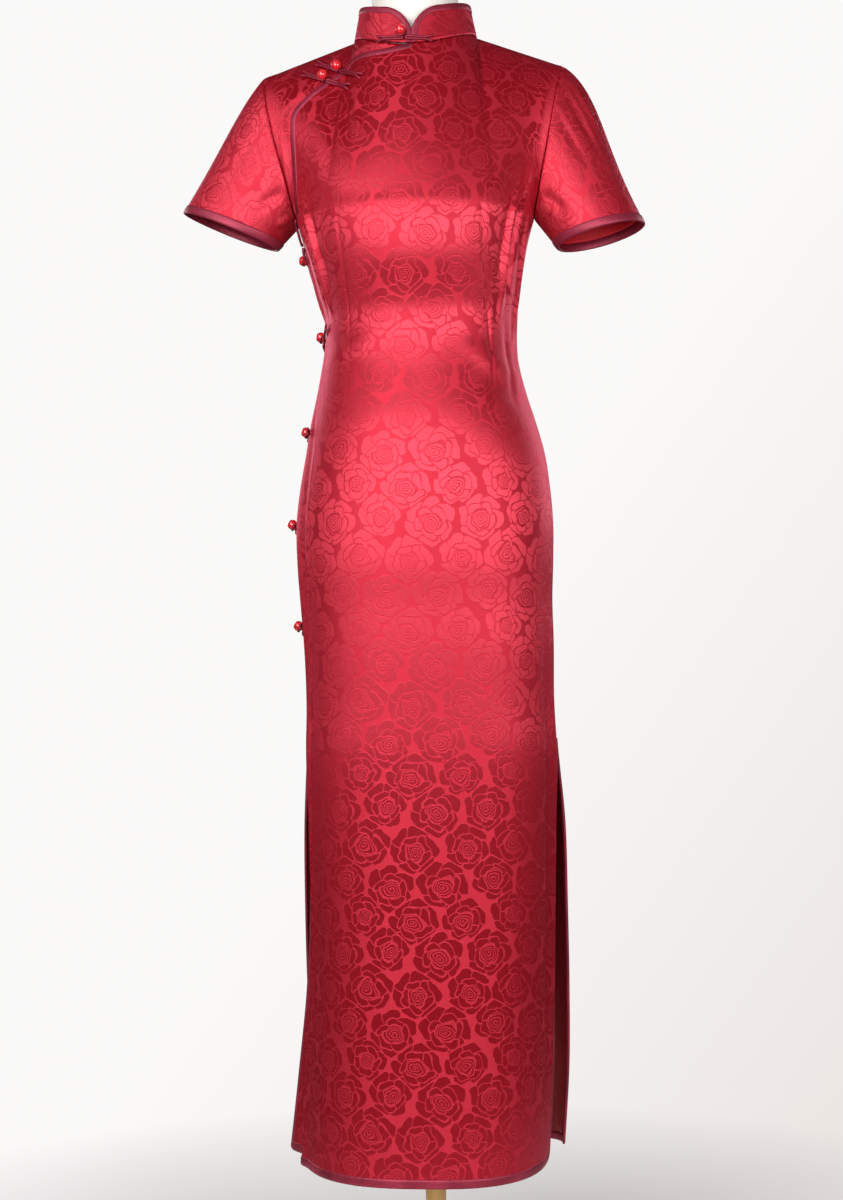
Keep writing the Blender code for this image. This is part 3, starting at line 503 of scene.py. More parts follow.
@dataclass
class FaceMap:
    """Every point of one face of the dress, by place and level, with its creases.

    A level is a height up to the armpit, and then the armpit's height plus the share of the way
    up times the shoulder's rise. A break is a dart or seam line, beyond which the woven figure is
    shifted sideways by the break's width.
    """

    shape: DressShape
    face: Face
    creases: tuple = ()
    breaks: tuple = ()
    low_rows: int = 320
    high_rows: int = 110
    columns: int = 301
    bust_passes: int = 150
    bust_rows: float = 24.0
    bust_margin: float = 0.12
    roll_depth: float = 0.0007
    roll_width: float = 0.0016
    points: np.ndarray = field(init=False)
    normals: np.ndarray = field(init=False)
    flat: np.ndarray = field(init=False)
    half: np.ndarray = field(init=False)

    def __post_init__(self) -> None:
        """Works out the table."""
        shape, places = self.shape, np.linspace(-1, 1, self.columns)
        heights = np.linspace(shape.hem, shape.armpit, self.low_rows + 1)
        rows = [shape.level_row(self.face, height, places) for height in heights]
        ups = np.linspace(0, 1, self.high_rows + 1)[1:]
        rows += [shape.chest_row(self.face, places, up, rows[self.low_rows]) for up in ups]
        self.points = np.array(rows)
        self.soften_bust(places)
        self.normals = self.face_normals()
        u, v = travelled(self.points, axis=1), travelled(self.points)
        u -= u[:, [self.columns // 2]]
        self.half = np.abs(u[:, [0, -1]]).mean(axis=1)
        levels = self.row_levels()
        for line in self.breaks:
            middle = np.interp(levels, [line.end_level, line.level], [line.end_place, line.place])
            beyond = (places[None, :] - middle[:, None]) * np.sign(line.place) > 0
            u = u + beyond * np.sign(line.place) * line.width * (levels < line.level)[:, None]
        self.flat = np.dstack([u, v])
        rise = self.crease_rise(places, levels) + self.seam_roll(places, levels)
        self.points += self.normals * rise[:, :, None]
        self.normals = self.face_normals()

    def soften_bust(self, places: np.ndarray) -> None:
        """Rounds the change of slope at the armpit level, away from the side seams."""
        depth = self.points[:, :, 1].copy()
        for _ in range(self.bust_passes):
            depth[1:-1] = (depth[:-2] + 2 * depth[1:-1] + depth[2:]) / 4
        near = np.exp(-(((np.arange(len(depth)) - self.low_rows) / self.bust_rows) ** 2))
        weight = near[:, None] * ease((1 - np.abs(places)) / self.bust_margin)[None, :]
        self.points[:, :, 1] += (depth - self.points[:, :, 1]) * weight

    def row_levels(self) -> np.ndarray:
        """The level of each row of the table."""
        return self.shape.levels(self.low_rows, self.high_rows)

    def face_normals(self) -> np.ndarray:
        """Outward unit normals of the table."""
        normals = unit(np.cross(np.gradient(self.points, axis=0), np.gradient(self.points, axis=1)))
        facing = (normals * (self.points * [1, 1, 0] + [0, 0, 0.03])).sum(axis=-1, keepdims=True)
        return normals * np.where(facing < 0, -1.0, 1.0)

    def crease_rise(self, places: np.ndarray, levels: np.ndarray) -> np.ndarray:
        """How far the creases push each point of the table out."""
        rise = np.zeros((len(levels), len(places)))
        x = places[None, :] * self.half[:, None]
        z = levels[:, None]
        for crease in self.creases:
            start, end = (
                np.array([place * np.interp(level, levels, self.half), level])
                for place, level in (
                    (crease.place, crease.level),
                    (crease.end_place, crease.end_level),
                )
            )
            rise += crease.rise_between(start, end, x, z)
        return rise

    def seam_roll(self, places: np.ndarray, levels: np.ndarray) -> np.ndarray:
        """The cloth's slight turn inwards along its seams."""
        away = (1 - np.abs(places))[None, :] * self.half[:, None]
        above_slit = levels[:, None] > self.shape.slit
        return -self.roll_depth * np.exp(-away / self.roll_width) * above_slit

    def sample(self, first: np.ndarray, second: np.ndarray) -> Sampled:
        """Points, normals and flat places at places (first) and levels (second)."""
        shape = self.shape
        low = (second - shape.hem) / (shape.armpit - shape.hem) * self.low_rows
        high = self.low_rows + (second - shape.armpit) / shape.rise * self.high_rows
        row = np.where(second < shape.armpit, low, high)
        row = np.clip(row, 0, self.low_rows + self.high_rows - 1e-6)
        col = np.clip((first + 1) / 2 * (self.columns - 1), 0, self.columns - 1 - 1e-6)
        points, normals, flat = read_tables((self.points, self.normals, self.flat), row, col)
        return points, unit(normals), flat

    def half_at(self, levels: np.ndarray) -> np.ndarray:
        """The length from the centre line to a side edge at levels."""
        return np.interp(levels, self.row_levels(), self.half)


@dataclass(frozen=True)
class SleeveSizes:
    """A sleeve. Its mouth runs between an outer and an inner corner, seen from the front."""

    name: str
    side: Side
    outer_x: float
    outer_z: float
    inner_x: float
    inner_z: float
    depth: float
    back_drop: float
    head: float
    creases: tuple = ()


@dataclass
class SleeveMap:
    """A sleeve by turn and distance from the cuff.

    Turns run from the armpit (0) over the front to the shoulder (1) and down the back (2). A
    crease's places are turns, and its levels are shares of the way up the sleeve.
    """

    shape: DressShape
    sizes: SleeveSizes
    rows: int = 70
    columns: int = 160
    crease_across: float = 0.20
    crease_up: float = 0.16
    roll_depth: float = 0.0008
    roll_width: float = 0.0016
    points: np.ndarray = field(init=False)
    normals: np.ndarray = field(init=False)
    flat: np.ndarray = field(init=False)

    def __post_init__(self) -> None:
        """Works out the table."""
        sizes, side = self.sizes, self.sizes.side.value
        turns = np.linspace(0, 2, self.columns + 1)
        outer = np.array([side * sizes.outer_x, self.shape.shoulder_y, sizes.outer_z])
        inner = np.array([side * sizes.inner_x, self.shape.shoulder_y, sizes.inner_z])
        centre, half = (outer + inner) / 2, (inner - outer) / 2
        start = np.empty((len(turns), 3))
        end = np.empty((len(turns), 3))
        for face in Face:
            mine = turns <= 1 if face is Face.FRONT else turns > 1
            up = turns[mine] if face is Face.FRONT else 2 - turns[mine]
            start[mine] = self.shape.armhole_seam(face, sizes.side, up)
            tilt = np.array([0, face.value * sizes.depth / 2, -face.value * sizes.back_drop / 2])
            turn = (math.pi * up)[:, None]
            end[mine] = centre + half * np.cos(turn) + tilt * np.sin(turn)
        over = np.maximum(-np.cos(math.pi * np.where(turns <= 1, turns, 2 - turns)), 0)
        downs = np.linspace(1, 0, self.rows + 1)[:, None]
        puff = sizes.head * over**2 * downs * (1 - downs) ** 3 * 9
        points = start * (1 - downs[:, :, None]) + end * downs[:, :, None]
        points += puff[:, :, None] * np.array([side * 0.75, 0, 0.66])
        u, v = travelled(points, axis=1), travelled(points)
        u -= u[:, [self.columns // 2]]
        self.flat = np.dstack([u * side, v])
        self.points = points
        self.normals = self.ring_normals()
        rise = np.zeros(v.shape)
        flat_size = np.array([self.crease_across, self.crease_up])
        for crease in sizes.creases:
            start_at = flat_size * [crease.place, crease.level]
            end_at = flat_size * [crease.end_place, crease.end_level]
            x, z = turns[None, :] * self.crease_across, (1 - downs) * self.crease_up
            rise += crease.rise_between(start_at, end_at, x, z)
        below_seam = v.max(axis=0, keepdims=True) - v
        rise -= self.roll_depth * np.exp(-below_seam / self.roll_width)
        self.points = self.points + self.normals * rise[:, :, None]
        self.points[:, -1] = self.points[:, 0]
        self.normals = self.ring_normals()

    def ring_normals(self) -> np.ndarray:
        """Outward unit normals of the table."""
        closed = self.points[:, :-1]
        across = np.roll(closed, -1, axis=1) - np.roll(closed, 1, axis=1)
        normals = unit(np.cross(np.gradient(closed, axis=0), across))
        outward = closed - closed.mean(axis=1, keepdims=True)
        normals *= np.sign((normals * outward).sum(axis=-1, keepdims=True))
        return np.concatenate([normals, normals[:, :1]], axis=1)

    def sample(self, first: np.ndarray, second: np.ndarray) -> Sampled:
        """Points, normals and flat places at turns (first) and distances from the cuff (second)."""
        col = np.clip(np.mod(first, 2) / 2 * self.columns, 0, self.columns - 1e-6)
        length = self.flat[-1, col.astype(int), 1]
        row = np.clip(second / length * self.rows, 0, self.rows - 1e-6)
        points, normals, flat = read_tables((self.points, self.normals, self.flat), row, col)
        return points, unit(normals), flat


@dataclass
class CollarMap:
    """The stand collar by turn and height over its seam.

    Turns run from its front left end (-pi) round the back (0) to its front right end (pi).
    """

    shape: DressShape
    front_height: float = 0.0425
    side_height: float = 0.0360
    back_height: float = 0.0400
    lean: float = 0.0085
    meet: float = 0.009
    rounding: float = 0.034
    lift: float = 0.0010

    def base(self, turn: np.ndarray) -> np.ndarray:
        """The seam of collar and neckline."""
        place = np.arcsin(np.clip(np.sin(turn), -1, 1)) / (math.pi / 2)
        front = self.shape.neckline(Face.FRONT, place)
        back = self.shape.neckline(Face.BACK, place)
        points = np.where((np.abs(turn) > math.pi / 2)[:, None], front, back)
        points[:, 2] += self.lift
        return points

    def full_height(self, turn: np.ndarray) -> np.ndarray:
        """The collar's height before its front ends are rounded."""
        towards = np.cos(turn)
        end = np.where(towards < 0, self.front_height, self.back_height)
        return self.side_height + (end - self.side_height) * towards**2

    def height(self, turn: np.ndarray) -> np.ndarray:
        """The collar's height, less at its two rounded front ends."""
        away = (math.pi - np.abs(turn)) * self.shape.neck_half * 0.93
        low = self.meet / self.front_height
        inside = np.clip(1 - away / self.rounding, 0, 1)
        return self.full_height(turn) * (low + (1 - low) * np.sqrt(1 - inside**2))

    def sample(self, first: np.ndarray, second: np.ndarray) -> Sampled:
        """Points, normals and flat places at turns (first) and heights (second)."""
        turn, height = first.ravel(), second.ravel()
        here = self.point(turn, height)
        step = 0.01
        across = self.point(turn + step, height) - self.point(turn - step, height)
        upwards = self.point(turn, height + 0.002) - here
        normals = unit(np.cross(upwards, across))
        outward = here - [0, 0.5 * (self.shape.neck_back_depth - self.shape.neck_front_depth), 0]
        normals *= np.sign((normals[:, :2] * outward[:, :2]).sum(axis=1, keepdims=True))
        flat = np.column_stack([turn * self.shape.neck_half * 0.94, height + 0.02])
        kept = first.shape
        return here.reshape(*kept, 3), normals.reshape(*kept, 3), flat.reshape(*kept, 2)

    def point(self, turn: np.ndarray, height: np.ndarray) -> np.ndarray:
        """Points of the collar's outer face, which leans in as it rises."""
        turn = np.clip(turn, -math.pi + 0.004, math.pi - 0.004)
        base = self.base(turn)
        middle = np.array([0, 0.5 * (self.shape.neck_back_depth - self.shape.neck_front_depth), 0])
        inward = unit((middle - base) * [1, 1, 0])
        lean = self.lean * height / self.front_height
        return base + inward * lean[:, None] + np.column_stack([turn * 0, turn * 0, height])


# --- making meshes ----------------------------------------------------------------------------


def sheet_mesh(
    name: str,
    points: np.ndarray,
    flat: np.ndarray,
    outward: Optional[np.ndarray] = None,
    wrap: bool = False,
) -> bpy.types.Object:
    """A smooth grid of quads with its flat cloth places as UVs.

    Args:
        name: Object name.
        points: Rows and columns of points.
        flat: The flat place of each point. A wrapped grid has one more column of them.
        outward: A normal for each point, to face the quads by.
        wrap: Whether the last column joins the first.

    Returns:
        The object, linked to the scene.
    """
    rows, cols = points.shape[:2]
    index = np.arange(rows * cols).reshape(rows, cols)
    ahead = np.roll(index, -1, axis=1) if wrap else index[:, 1:]
    here = index if wrap else index[:, :-1]
    quads = np.stack([here[:-1], ahead[:-1], ahead[1:], here[1:]], axis=-1).reshape(-1, 4)
    fcols = flat.shape[1]
    uv_index = np.arange(rows * fcols).reshape(rows, fcols)
    corners = [uv_index[:-1, :-1], uv_index[:-1, 1:], uv_index[1:, 1:], uv_index[1:, :-1]]
    uv_quads = np.stack(corners, axis=-1).reshape(-1, 4)
    verts = points.reshape(-1, 3)
    if outward is not None:
        a, b, c = (verts[quads[:, i]] for i in (0, 1, 3))
        facing = (np.cross(b - a, c - a) * outward.reshape(-1, 3)[quads[:, 0]]).sum()
        if facing < 0:
            quads, uv_quads = quads[:, ::-1], uv_quads[:, ::-1]
    mesh = bpy.data.meshes.new(name)
    mesh.from_pydata(verts.tolist(), [], quads.tolist())
    layer = mesh.uv_layers.new(name=UV_NAME)
    layer.data.foreach_set("uv", flat.reshape(-1, 2)[uv_quads.ravel()].astype(np.float32).ravel())
    mesh.shade_smooth()
    obj = bpy.data.objects.new(name, mesh)
    bpy.context.scene.collection.objects.link(obj)
    return obj


def thicken(obj: bpy.types.Object, thickness: float) -> None:
    """Gives a sheet its thickness, inwards."""
    solid = obj.modifiers.new("thickness", "SOLIDIFY")
    solid.thickness = thickness
    solid.offset = -1.0
    solid.use_even_offset = False


def sweep(name: str, path: np.ndarray, radii: np.ndarray, sides: int = 12) -> bpy.types.Object:
    """A round cord along a path, with rounded ends.

    Args:
        name: Object name.
        path: Points along the middle of the cord.
        radii: The cord's radius at each point.
        sides: Points round it.

    Returns:
        The object.
    """
    run = unit(np.gradient(path, axis=0))
    side = unit(np.cross(run[0], [0.3, 0.2, 0.93]))
    rings, flat, length = [], [], 0.0
    turns = np.linspace(0, 2 * math.pi, sides + 1)
    rounding = ((0.7, 0.02), (0.45, 0.75))
    start = [(path[0] - run[0] * radii[0] * out, radii[0] * thin) for out, thin in rounding]
    end = [(path[-1] + run[-1] * radii[-1] * out, radii[-1] * thin) for out, thin in rounding[::-1]]
    stops = [*start, *zip(path, radii), *end]
    directions = [run[0], run[0], *run, run[-1], run[-1]]
    last = stops[0][0]
    for (centre, radius), direction in zip(stops, directions):
        side = unit(side - direction * (side @ direction))
        up = np.cross(direction, side)
        length += float(np.linalg.norm(centre - last))
        last = centre
        ring = centre + radius * (
            np.cos(turns[:-1])[:, None] * side + np.sin(turns[:-1])[:, None] * up
        )
        rings.append(ring)
        flat.append(np.column_stack([turns * radius, np.full(sides + 1, length)]))
    points = np.array(rings)
    outward = points - np.array([stop[0] for stop in stops])[:, None, :]
    obj = sheet_mesh(name, points, np.array(flat), outward, wrap=True)
    close_ends(obj)
    return obj


def edit(obj: bpy.types.Object, change: Callable[[bmesh.types.BMesh], object]) -> None:
    """Changes a piece's mesh through a BMesh."""
    work = bmesh.new()
    work.from_mesh(obj.data)
    change(work)
    work.to_mesh(obj.data)
    work.free()


def close_ends(obj: bpy.types.Object) -> None:
    """Closes the open ends of a tube or turned piece."""

    def close(work: bmesh.types.BMesh) -> None:
        edges = [edge for edge in work.edges if edge.is_boundary]
        bmesh.ops.holes_fill(work, edges=edges, sides=0)

    edit(obj, close)


def weld(obj: bpy.types.Object) -> None:
    """Joins points of a mesh that lie together."""
    edit(obj, lambda work: bmesh.ops.remove_doubles(work, verts=work.verts[:], dist=1e-6))


def turned(name: str, profile: np.ndarray, steps: int = 72) -> bpy.types.Object:
    """A solid of revolution about Z, its profile (radius, height) given from top to bottom."""
    turns = np.linspace(0, 2 * math.pi, steps + 1)
    radius, height = profile[:, 0][:, None], profile[:, 1][:, None]
    ring = np.dstack(
        [radius * np.cos(turns[:-1]), radius * np.sin(turns[:-1]), height + 0 * turns[:-1]]
    )
    run = travelled(profile)
    flat = np.dstack([radius * turns, run[:, None] + 0 * turns])
    centre = np.array([0, 0, float(profile[:, 1].mean())])
    obj = sheet_mesh(name, ring, flat, ring - centre, wrap=True)
    close_ends(obj)
    obj.data.set_sharp_from_angle(angle=math.radians(50))
    return obj


# --- node helpers -----------------------------------------------------------------------------

Socket = bpy.types.NodeSocket


@dataclass
class Sketch:
    """Places and links nodes in a tree."""

    tree: bpy.types.NodeTree

    def put(self, socket: Socket, value: object) -> None:
        """Links a socket, or sets a plain value on it."""
        if isinstance(value, bpy.types.NodeSocket):
            self.tree.links.new(value, socket)
        else:
            socket.default_value = value

    def fill(self, node: bpy.types.Node, values: dict) -> None:
        """Links or sets a node's inputs, by name."""
        for name, value in values.items():
            self.put(node.inputs[name], value)

    def math(self, operation: str, *values: object, clamp: bool = False) -> Socket:
        """A Math node's result."""
        node = self.tree.nodes.new("ShaderNodeMath")
        node.operation = operation
        node.use_clamp = clamp
        for socket, value in zip(node.inputs, values):
            self.put(socket, value)
        return node.outputs[0]

    def line(self, value: object, slope: object, start: object, clamp: bool = False) -> Socket:
        """A value times a slope, plus a start."""
        return self.math("MULTIPLY_ADD", value, slope, start, clamp=clamp)

    def vector(self, operation: str, *values: object, out: int = 0) -> Socket:
        """A Vector Math node's result."""
        node = self.tree.nodes.new("ShaderNodeVectorMath")
        node.operation = operation
        for socket, value in zip(node.inputs, values):
            self.put(socket, value)
        return node.outputs[out]

    def scale(self, a: object, by: object) -> Socket:
        """A vector times a number."""
        node = self.vector("SCALE", a).node
        self.put(node.inputs["Scale"], by)
        return node.outputs[0]

    def blend(self, factor: object, a: object, b: object, kind: str = "FLOAT") -> Socket:
        """A Mix node's result: numbers, vectors or colours."""
        node = self.tree.nodes.new("ShaderNodeMix")
        node.data_type = kind
        picked = {"FLOAT": (0, 2, 3, 0), "VECTOR": (0, 4, 5, 1), "RGBA": (0, 6, 7, 2)}[kind]
        for index, value in zip(picked, (factor, a, b)):
            self.put(node.inputs[index], value)
        return node.outputs[picked[3]]

    def colours(self, factor: object, a: object, b: object) -> Socket:
        """A mix of two colours, each a socket or its red, green and blue."""
        given = (v if isinstance(v, bpy.types.NodeSocket) else (*v, 1.0) for v in (a, b))
        return self.blend(factor, *given, "RGBA")

    def below(self, value: object, edge: object, soft: float) -> Socket:
        """Near 1 where a value is under an edge, and near 0 above it."""
        return self.line(self.math("SUBTRACT", edge, value), 1 / soft, 0.5, clamp=True)

    def noise(self, vector: object, scale: float, detail: float) -> bpy.types.Node:
        """A Noise Texture node."""
        node = self.tree.nodes.new("ShaderNodeTexNoise")
        self.fill(node, {"Vector": vector, "Scale": scale, "Detail": detail})
        return node

    def parts(self, vector: object) -> list[Socket]:
        """The x, y and z of a vector."""
        node = self.tree.nodes.new("ShaderNodeSeparateXYZ")
        self.put(node.inputs[0], vector)
        return list(node.outputs)

    def group(self, tree: bpy.types.NodeTree, **values: object) -> bpy.types.Node:
        """A node group, placed with its own values."""
        node = self.tree.nodes.new("ShaderNodeGroup")
        node.node_tree = tree
        self.fill(node, values)
        return node

    def place_on_piece(self) -> Socket:
        """The place on the piece in metres."""
        return self.tree.nodes.new("ShaderNodeTexCoord").outputs["Object"]


def new_group(
    name: str, inputs: dict, outputs: Sequence[str]
) -> tuple[bpy.types.NodeTree, Sketch, bpy.types.Node, bpy.types.Node]:
    """An empty shader node group.

    Args:
        name: Its name.
        inputs: Input names with their default number, or None for a vector.
        outputs: Names of its number outputs.

    Returns:
        The tree, a sketch of it, its input node and its output node.
    """
    tree = bpy.data.node_groups.new(name, "ShaderNodeTree")
    for label, default in inputs.items():
        kind = "NodeSocketVector" if default is None else "NodeSocketFloat"
        socket = tree.interface.new_socket(label, in_out="INPUT", socket_type=kind)
        if default is not None:
            socket.default_value = default
    for label in outputs:
        tree.interface.new_socket(label, in_out="OUTPUT", socket_type="NodeSocketFloat")
    return tree, Sketch(tree), tree.nodes.new("NodeGroupInput"), tree.nodes.new("NodeGroupOutput")


# --- effects shared by the finishes -----------------------------------------------------------


@dataclass(frozen=True)
class Rose:
    """One rose of the woven repeat: its middle and radius in metres, and its turn in radians."""

    x: float
    y: float
    radius: float
    turn: float


@dataclass(frozen=True)
class Ring:
    """A ring of petals: its least radius, its lobes' height, their count, their turn and twist."""

    base: float
    lobe: float
    count: int
    turn: float
    twist: float


@dataclass(frozen=True)
class RoseFigure:
    """A woven repeat of open roses, dense as a garden, drawn from lobed rings of petals."""

    width: float = 0.172
    height: float = 0.164
    line: float = 0.042
    soft: float = 0.025
    heart: float = 0.115
    wander: float = 0.46
    outer: Ring = Ring(0.80, 0.21, 6, 0.0, 0.9)
    rings: tuple = (
        Ring(0.57, 0.13, 5, 0.9, -1.4),
        Ring(0.34, 0.10, 3, 0.3, 1.8),
    )
    roses: tuple = (
        Rose(0.022, 0.016, 0.0300, 0.3),
        Rose(0.080, 0.023, 0.0255, 1.9),
        Rose(0.134, 0.012, 0.0280, 4.0),
        Rose(0.050, 0.059, 0.0255, 2.6),
        Rose(0.105, 0.063, 0.0300, 5.2),
        Rose(0.162, 0.055, 0.0275, 2.2),
        Rose(0.016, 0.099, 0.0285, 0.9),
        Rose(0.073, 0.103, 0.0270, 5.7),
        Rose(0.130, 0.107, 0.0255, 3.4),
        Rose(0.045, 0.141, 0.0255, 0.1),
        Rose(0.101, 0.146, 0.0250, 4.6),
        Rose(0.160, 0.139, 0.0280, 1.2),
    )

    def build(self) -> bpy.types.NodeTree:
        """The node group. Figure is 1 in the petals and 0 in the ground and the lines."""
        tree, s, start, end = new_group("rose_figure", {"Vector": None}, ("Figure",))
        local, seed, gap = self.nearest(s, start.outputs["Vector"])
        shift = s.vector("ADD", local, s.scale((3.1, 7.3, 1.7), seed))
        wander = s.noise(shift, 1.6, 1.0).outputs["Color"]
        wander = s.scale(s.vector("SUBTRACT", wander, (0.5, 0.5, 0.5)), self.wander)
        flat = s.vector("MULTIPLY", s.vector("ADD", local, wander), (1, 1, 0))
        turn, reach = self.polar(s, flat, seed)
        rim, line = self.petals(s, turn, reach, self.outer)
        figure = s.below(reach, rim, self.soft)
        middle = s.vector("SUBTRACT", flat, (0.03, -0.08, 0))
        turn, reach = self.polar(s, middle, seed)
        for ring in self.rings:
            rim, spokes = self.petals(s, turn, reach, ring)
            inside = s.below(reach, rim, self.soft)
            edge = s.below(
                s.math("ABSOLUTE", s.math("SUBTRACT", reach, rim)), self.line / 2, self.soft
            )
            line = s.math("MAXIMUM", s.blend(inside, line, spokes), edge)
        inside = s.below(reach, rim, self.soft)
        line = s.math("MAXIMUM", s.blend(inside, line, self.spiral(s, turn, reach)), edge)
        figure = s.math("MULTIPLY", figure, s.math("SUBTRACT", 1.0, line))
        apart = s.math("SUBTRACT", 1.0, s.below(gap, self.line, self.soft))
        figure = s.math("MULTIPLY", figure, apart)
        s.put(end.inputs["Figure"], figure)
        return tree

    def nearest(self, s: Sketch, cloth: Socket) -> tuple[Socket, Socket, Socket]:
        """The place in the nearest rose in its radii, its seed, and the lead on the next one."""
        half = (self.width / 2, self.height / 2, 1.0)
        low = tuple(-value for value in half)
        local, reach, seed, second = (9.0, 9.0, 9.0), 9.0, 0.0, 9.0
        for rose in self.roses:
            away = s.vector("SUBTRACT", cloth, (rose.x, rose.y, 0.0))
            mine = s.scale(s.vector("WRAP", away, half, low), 1 / rose.radius)
            far = s.vector("LENGTH", mine, out=1)
            nearer = s.math("LESS_THAN", far, reach)
            second = s.math("MINIMUM", second, s.math("MAXIMUM", far, reach))
            local = s.blend(nearer, local, mine, "VECTOR")
            reach = s.math("MINIMUM", reach, far)
            seed = s.blend(nearer, seed, rose.turn)
        return local, seed, s.math("SUBTRACT", second, reach)

    def polar(self, s: Sketch, flat: Socket, seed: Socket) -> tuple[Socket, Socket]:
        """The angle, turned by the seed, and the distance from the middle."""
        x, y, _ = s.parts(flat)
        return s.math("ADD", s.math("ARCTAN2", y, x), seed), s.vector("LENGTH", flat, out=1)

    def petals(self, s: Sketch, turn: Socket, reach: Socket, ring: Ring) -> tuple[Socket, Socket]:
        """A ring's lobed rim, and the curved lines between its petals."""
        twisted = s.line(reach, ring.twist, turn)
        wave = s.math("ABSOLUTE", s.math("COSINE", s.line(twisted, ring.count / 2, ring.turn)))
        rim = s.line(s.math("POWER", wave, 0.7), ring.lobe, ring.base)
        away = s.math("MULTIPLY", s.math("MULTIPLY", wave, reach), 2 / ring.count)
        return rim, s.below(away, self.line * 0.45, self.soft)

    def spiral(self, s: Sketch, turn: Socket, reach: Socket) -> Socket:
        """The rolled petals at the rose's heart."""
        phase = s.line(reach, 1 / self.heart, s.math("MULTIPLY", turn, 1 / math.tau))
        away = s.math("ABSOLUTE", s.math("SUBTRACT", s.math("FRACT", phase), 0.5))
        return s.below(s.math("MULTIPLY", away, self.heart), self.line * 0.4, self.soft)


def weave_group() -> bpy.types.NodeTree:
    """Fine satin floats and slight streaks. Pitch is the threads' spacing in metres."""
    tree, s, start, end = new_group(
        "fine_weave", {"Vector": None, "Pitch": 0.0006}, ("Height", "Streak")
    )
    cloth = start.outputs["Vector"]
    per = s.math("DIVIDE", math.tau, start.outputs["Pitch"])
    x, y, _ = s.parts(cloth)
    twill = s.math("SINE", s.math("MULTIPLY", s.line(y, 0.35, x), per))
    floats = s.math("SINE", s.math("MULTIPLY", s.line(y, 0.5, s.math("MULTIPLY", x, -0.2)), per))
    s.put(end.inputs["Height"], s.line(s.math("MULTIPLY", twill, floats), 0.5, 0.5))
    streaks = s.noise(s.vector("MULTIPLY", cloth, (900.0, 40.0, 1.0)), 1.0, 2.0).outputs[0]
    slow = s.noise(s.vector("MULTIPLY", cloth, (9.0, 7.0, 1.0)), 1.0, 3.0).outputs[0]
    s.put(end.inputs["Streak"], s.line(streaks, 0.5, s.math("MULTIPLY", slow, 0.5)))
    return tree


@dataclass
class Effects:
    """The node groups that more than one finish uses, built once."""

    roses: bpy.types.NodeTree
    weave: bpy.types.NodeTree

    @classmethod
    def build(cls) -> "Effects":
        """Builds every group."""
        return cls(RoseFigure().build(), weave_group())


# --- finishes ---------------------------------------------------------------------------------

Colour = tuple[float, float, float]

# Turns of the sheen, as shares of a whole turn from the cloth's own direction across.
ACROSS_WARP = 0.0
ALONG_WARP = 0.25


@dataclass(frozen=True)
class Finish:
    """A material and the name of its slot."""

    slot: str
    material: bpy.types.Material


def shader_of(name: str) -> tuple[bpy.types.Material, Sketch, bpy.types.Node]:
    """A new material, a sketch of its tree and its Principled BSDF."""
    material = bpy.data.materials.new(f"fine_{name}")
    material.use_nodes = True
    return material, Sketch(material.node_tree), material.node_tree.nodes["Principled BSDF"]


def cloth_places(s: Sketch) -> Socket:
    """The flat cloth places of a piece."""
    node = s.tree.nodes.new("ShaderNodeUVMap")
    node.uv_map = UV_NAME
    return node.outputs[0]


def cloth_run(s: Sketch, shader: bpy.types.Node, strength: object, rotation: object) -> None:
    """Stretches the sheen one way along the cloth.

    Args:
        s: The material's sketch.
        shader: Its Principled BSDF.
        strength: How strongly, from 0 to 1.
        rotation: ACROSS_WARP, ALONG_WARP or a mix of them.
    """
    node = s.tree.nodes.new("ShaderNodeTangent")
    node.direction_type = "UV_MAP"
    node.uv_map = UV_NAME
    s.fill(
        shader,
        {"Anisotropic": strength, "Anisotropic Rotation": rotation, "Tangent": node.outputs[0]},
    )


def bump(
    s: Sketch, shader: bpy.types.Node, height: Socket, distance: float, strength: float
) -> None:
    """Feeds a height to the shader's normal."""
    node = s.tree.nodes.new("ShaderNodeBump")
    s.fill(node, {"Distance": distance, "Strength": strength, "Height": height})
    s.put(shader.inputs["Normal"], node.outputs[0])


@dataclass(frozen=True)
class JacquardSatin:
    """Crimson satin with roses in upright warp floats on a duller ground of crosswise floats."""

    name: str = "rose_jacquard_satin"
    ground: Colour = (0.62, 0.016, 0.036)
    petal: Colour = (0.50, 0.007, 0.018)
    dullness: float = 0.86
    ground_gloss: float = 0.58
    petal_gloss: float = 0.40
    streak_gloss: float = 0.04
    ground_metallic: float = 0.72
    petal_metallic: float = 0.58
    ground_run: float = 0.15
    petal_run: float = 0.91
    index: float = 1.6
    shine: float = 0.9
    shine_tint: Colour = (1.0, 0.75, 1.0)
    thread: float = 0.0007
    thread_relief: float = 0.12
    relief: float = 0.00010

    def build(self, effects: Effects) -> Finish:
        """The finish."""
        material, s, shader = shader_of(self.name)
        places = cloth_places(s)
        roses = s.group(effects.roses, Vector=places)
        figure = roses.outputs["Figure"]
        weave = s.group(effects.weave, Vector=places, Pitch=self.thread)
        streak = weave.outputs["Streak"]
        dull = tuple(value * self.dullness for value in self.ground)
        ground = s.colours(streak, self.ground, dull)
        gloss = s.blend(figure, self.ground_gloss, self.petal_gloss)
        s.fill(shader, {
            "Base Color": s.colours(figure, ground, self.petal),
            "Roughness": s.line(streak, self.streak_gloss, gloss),
            "Metallic": s.blend(figure, self.ground_metallic, self.petal_metallic),
            "IOR": self.index,
            "Specular IOR Level": self.shine,
            "Specular Tint": (*self.shine_tint, 1.0),
        })
        cloth_run(
            s,
            shader,
            s.blend(figure, self.ground_run, self.petal_run),
            s.blend(figure, ALONG_WARP, ACROSS_WARP),
        )
        height = s.line(weave.outputs["Height"], self.thread_relief, figure)
        bump(s, shader, height, self.relief, 0.8)
        return Finish(self.name, material)


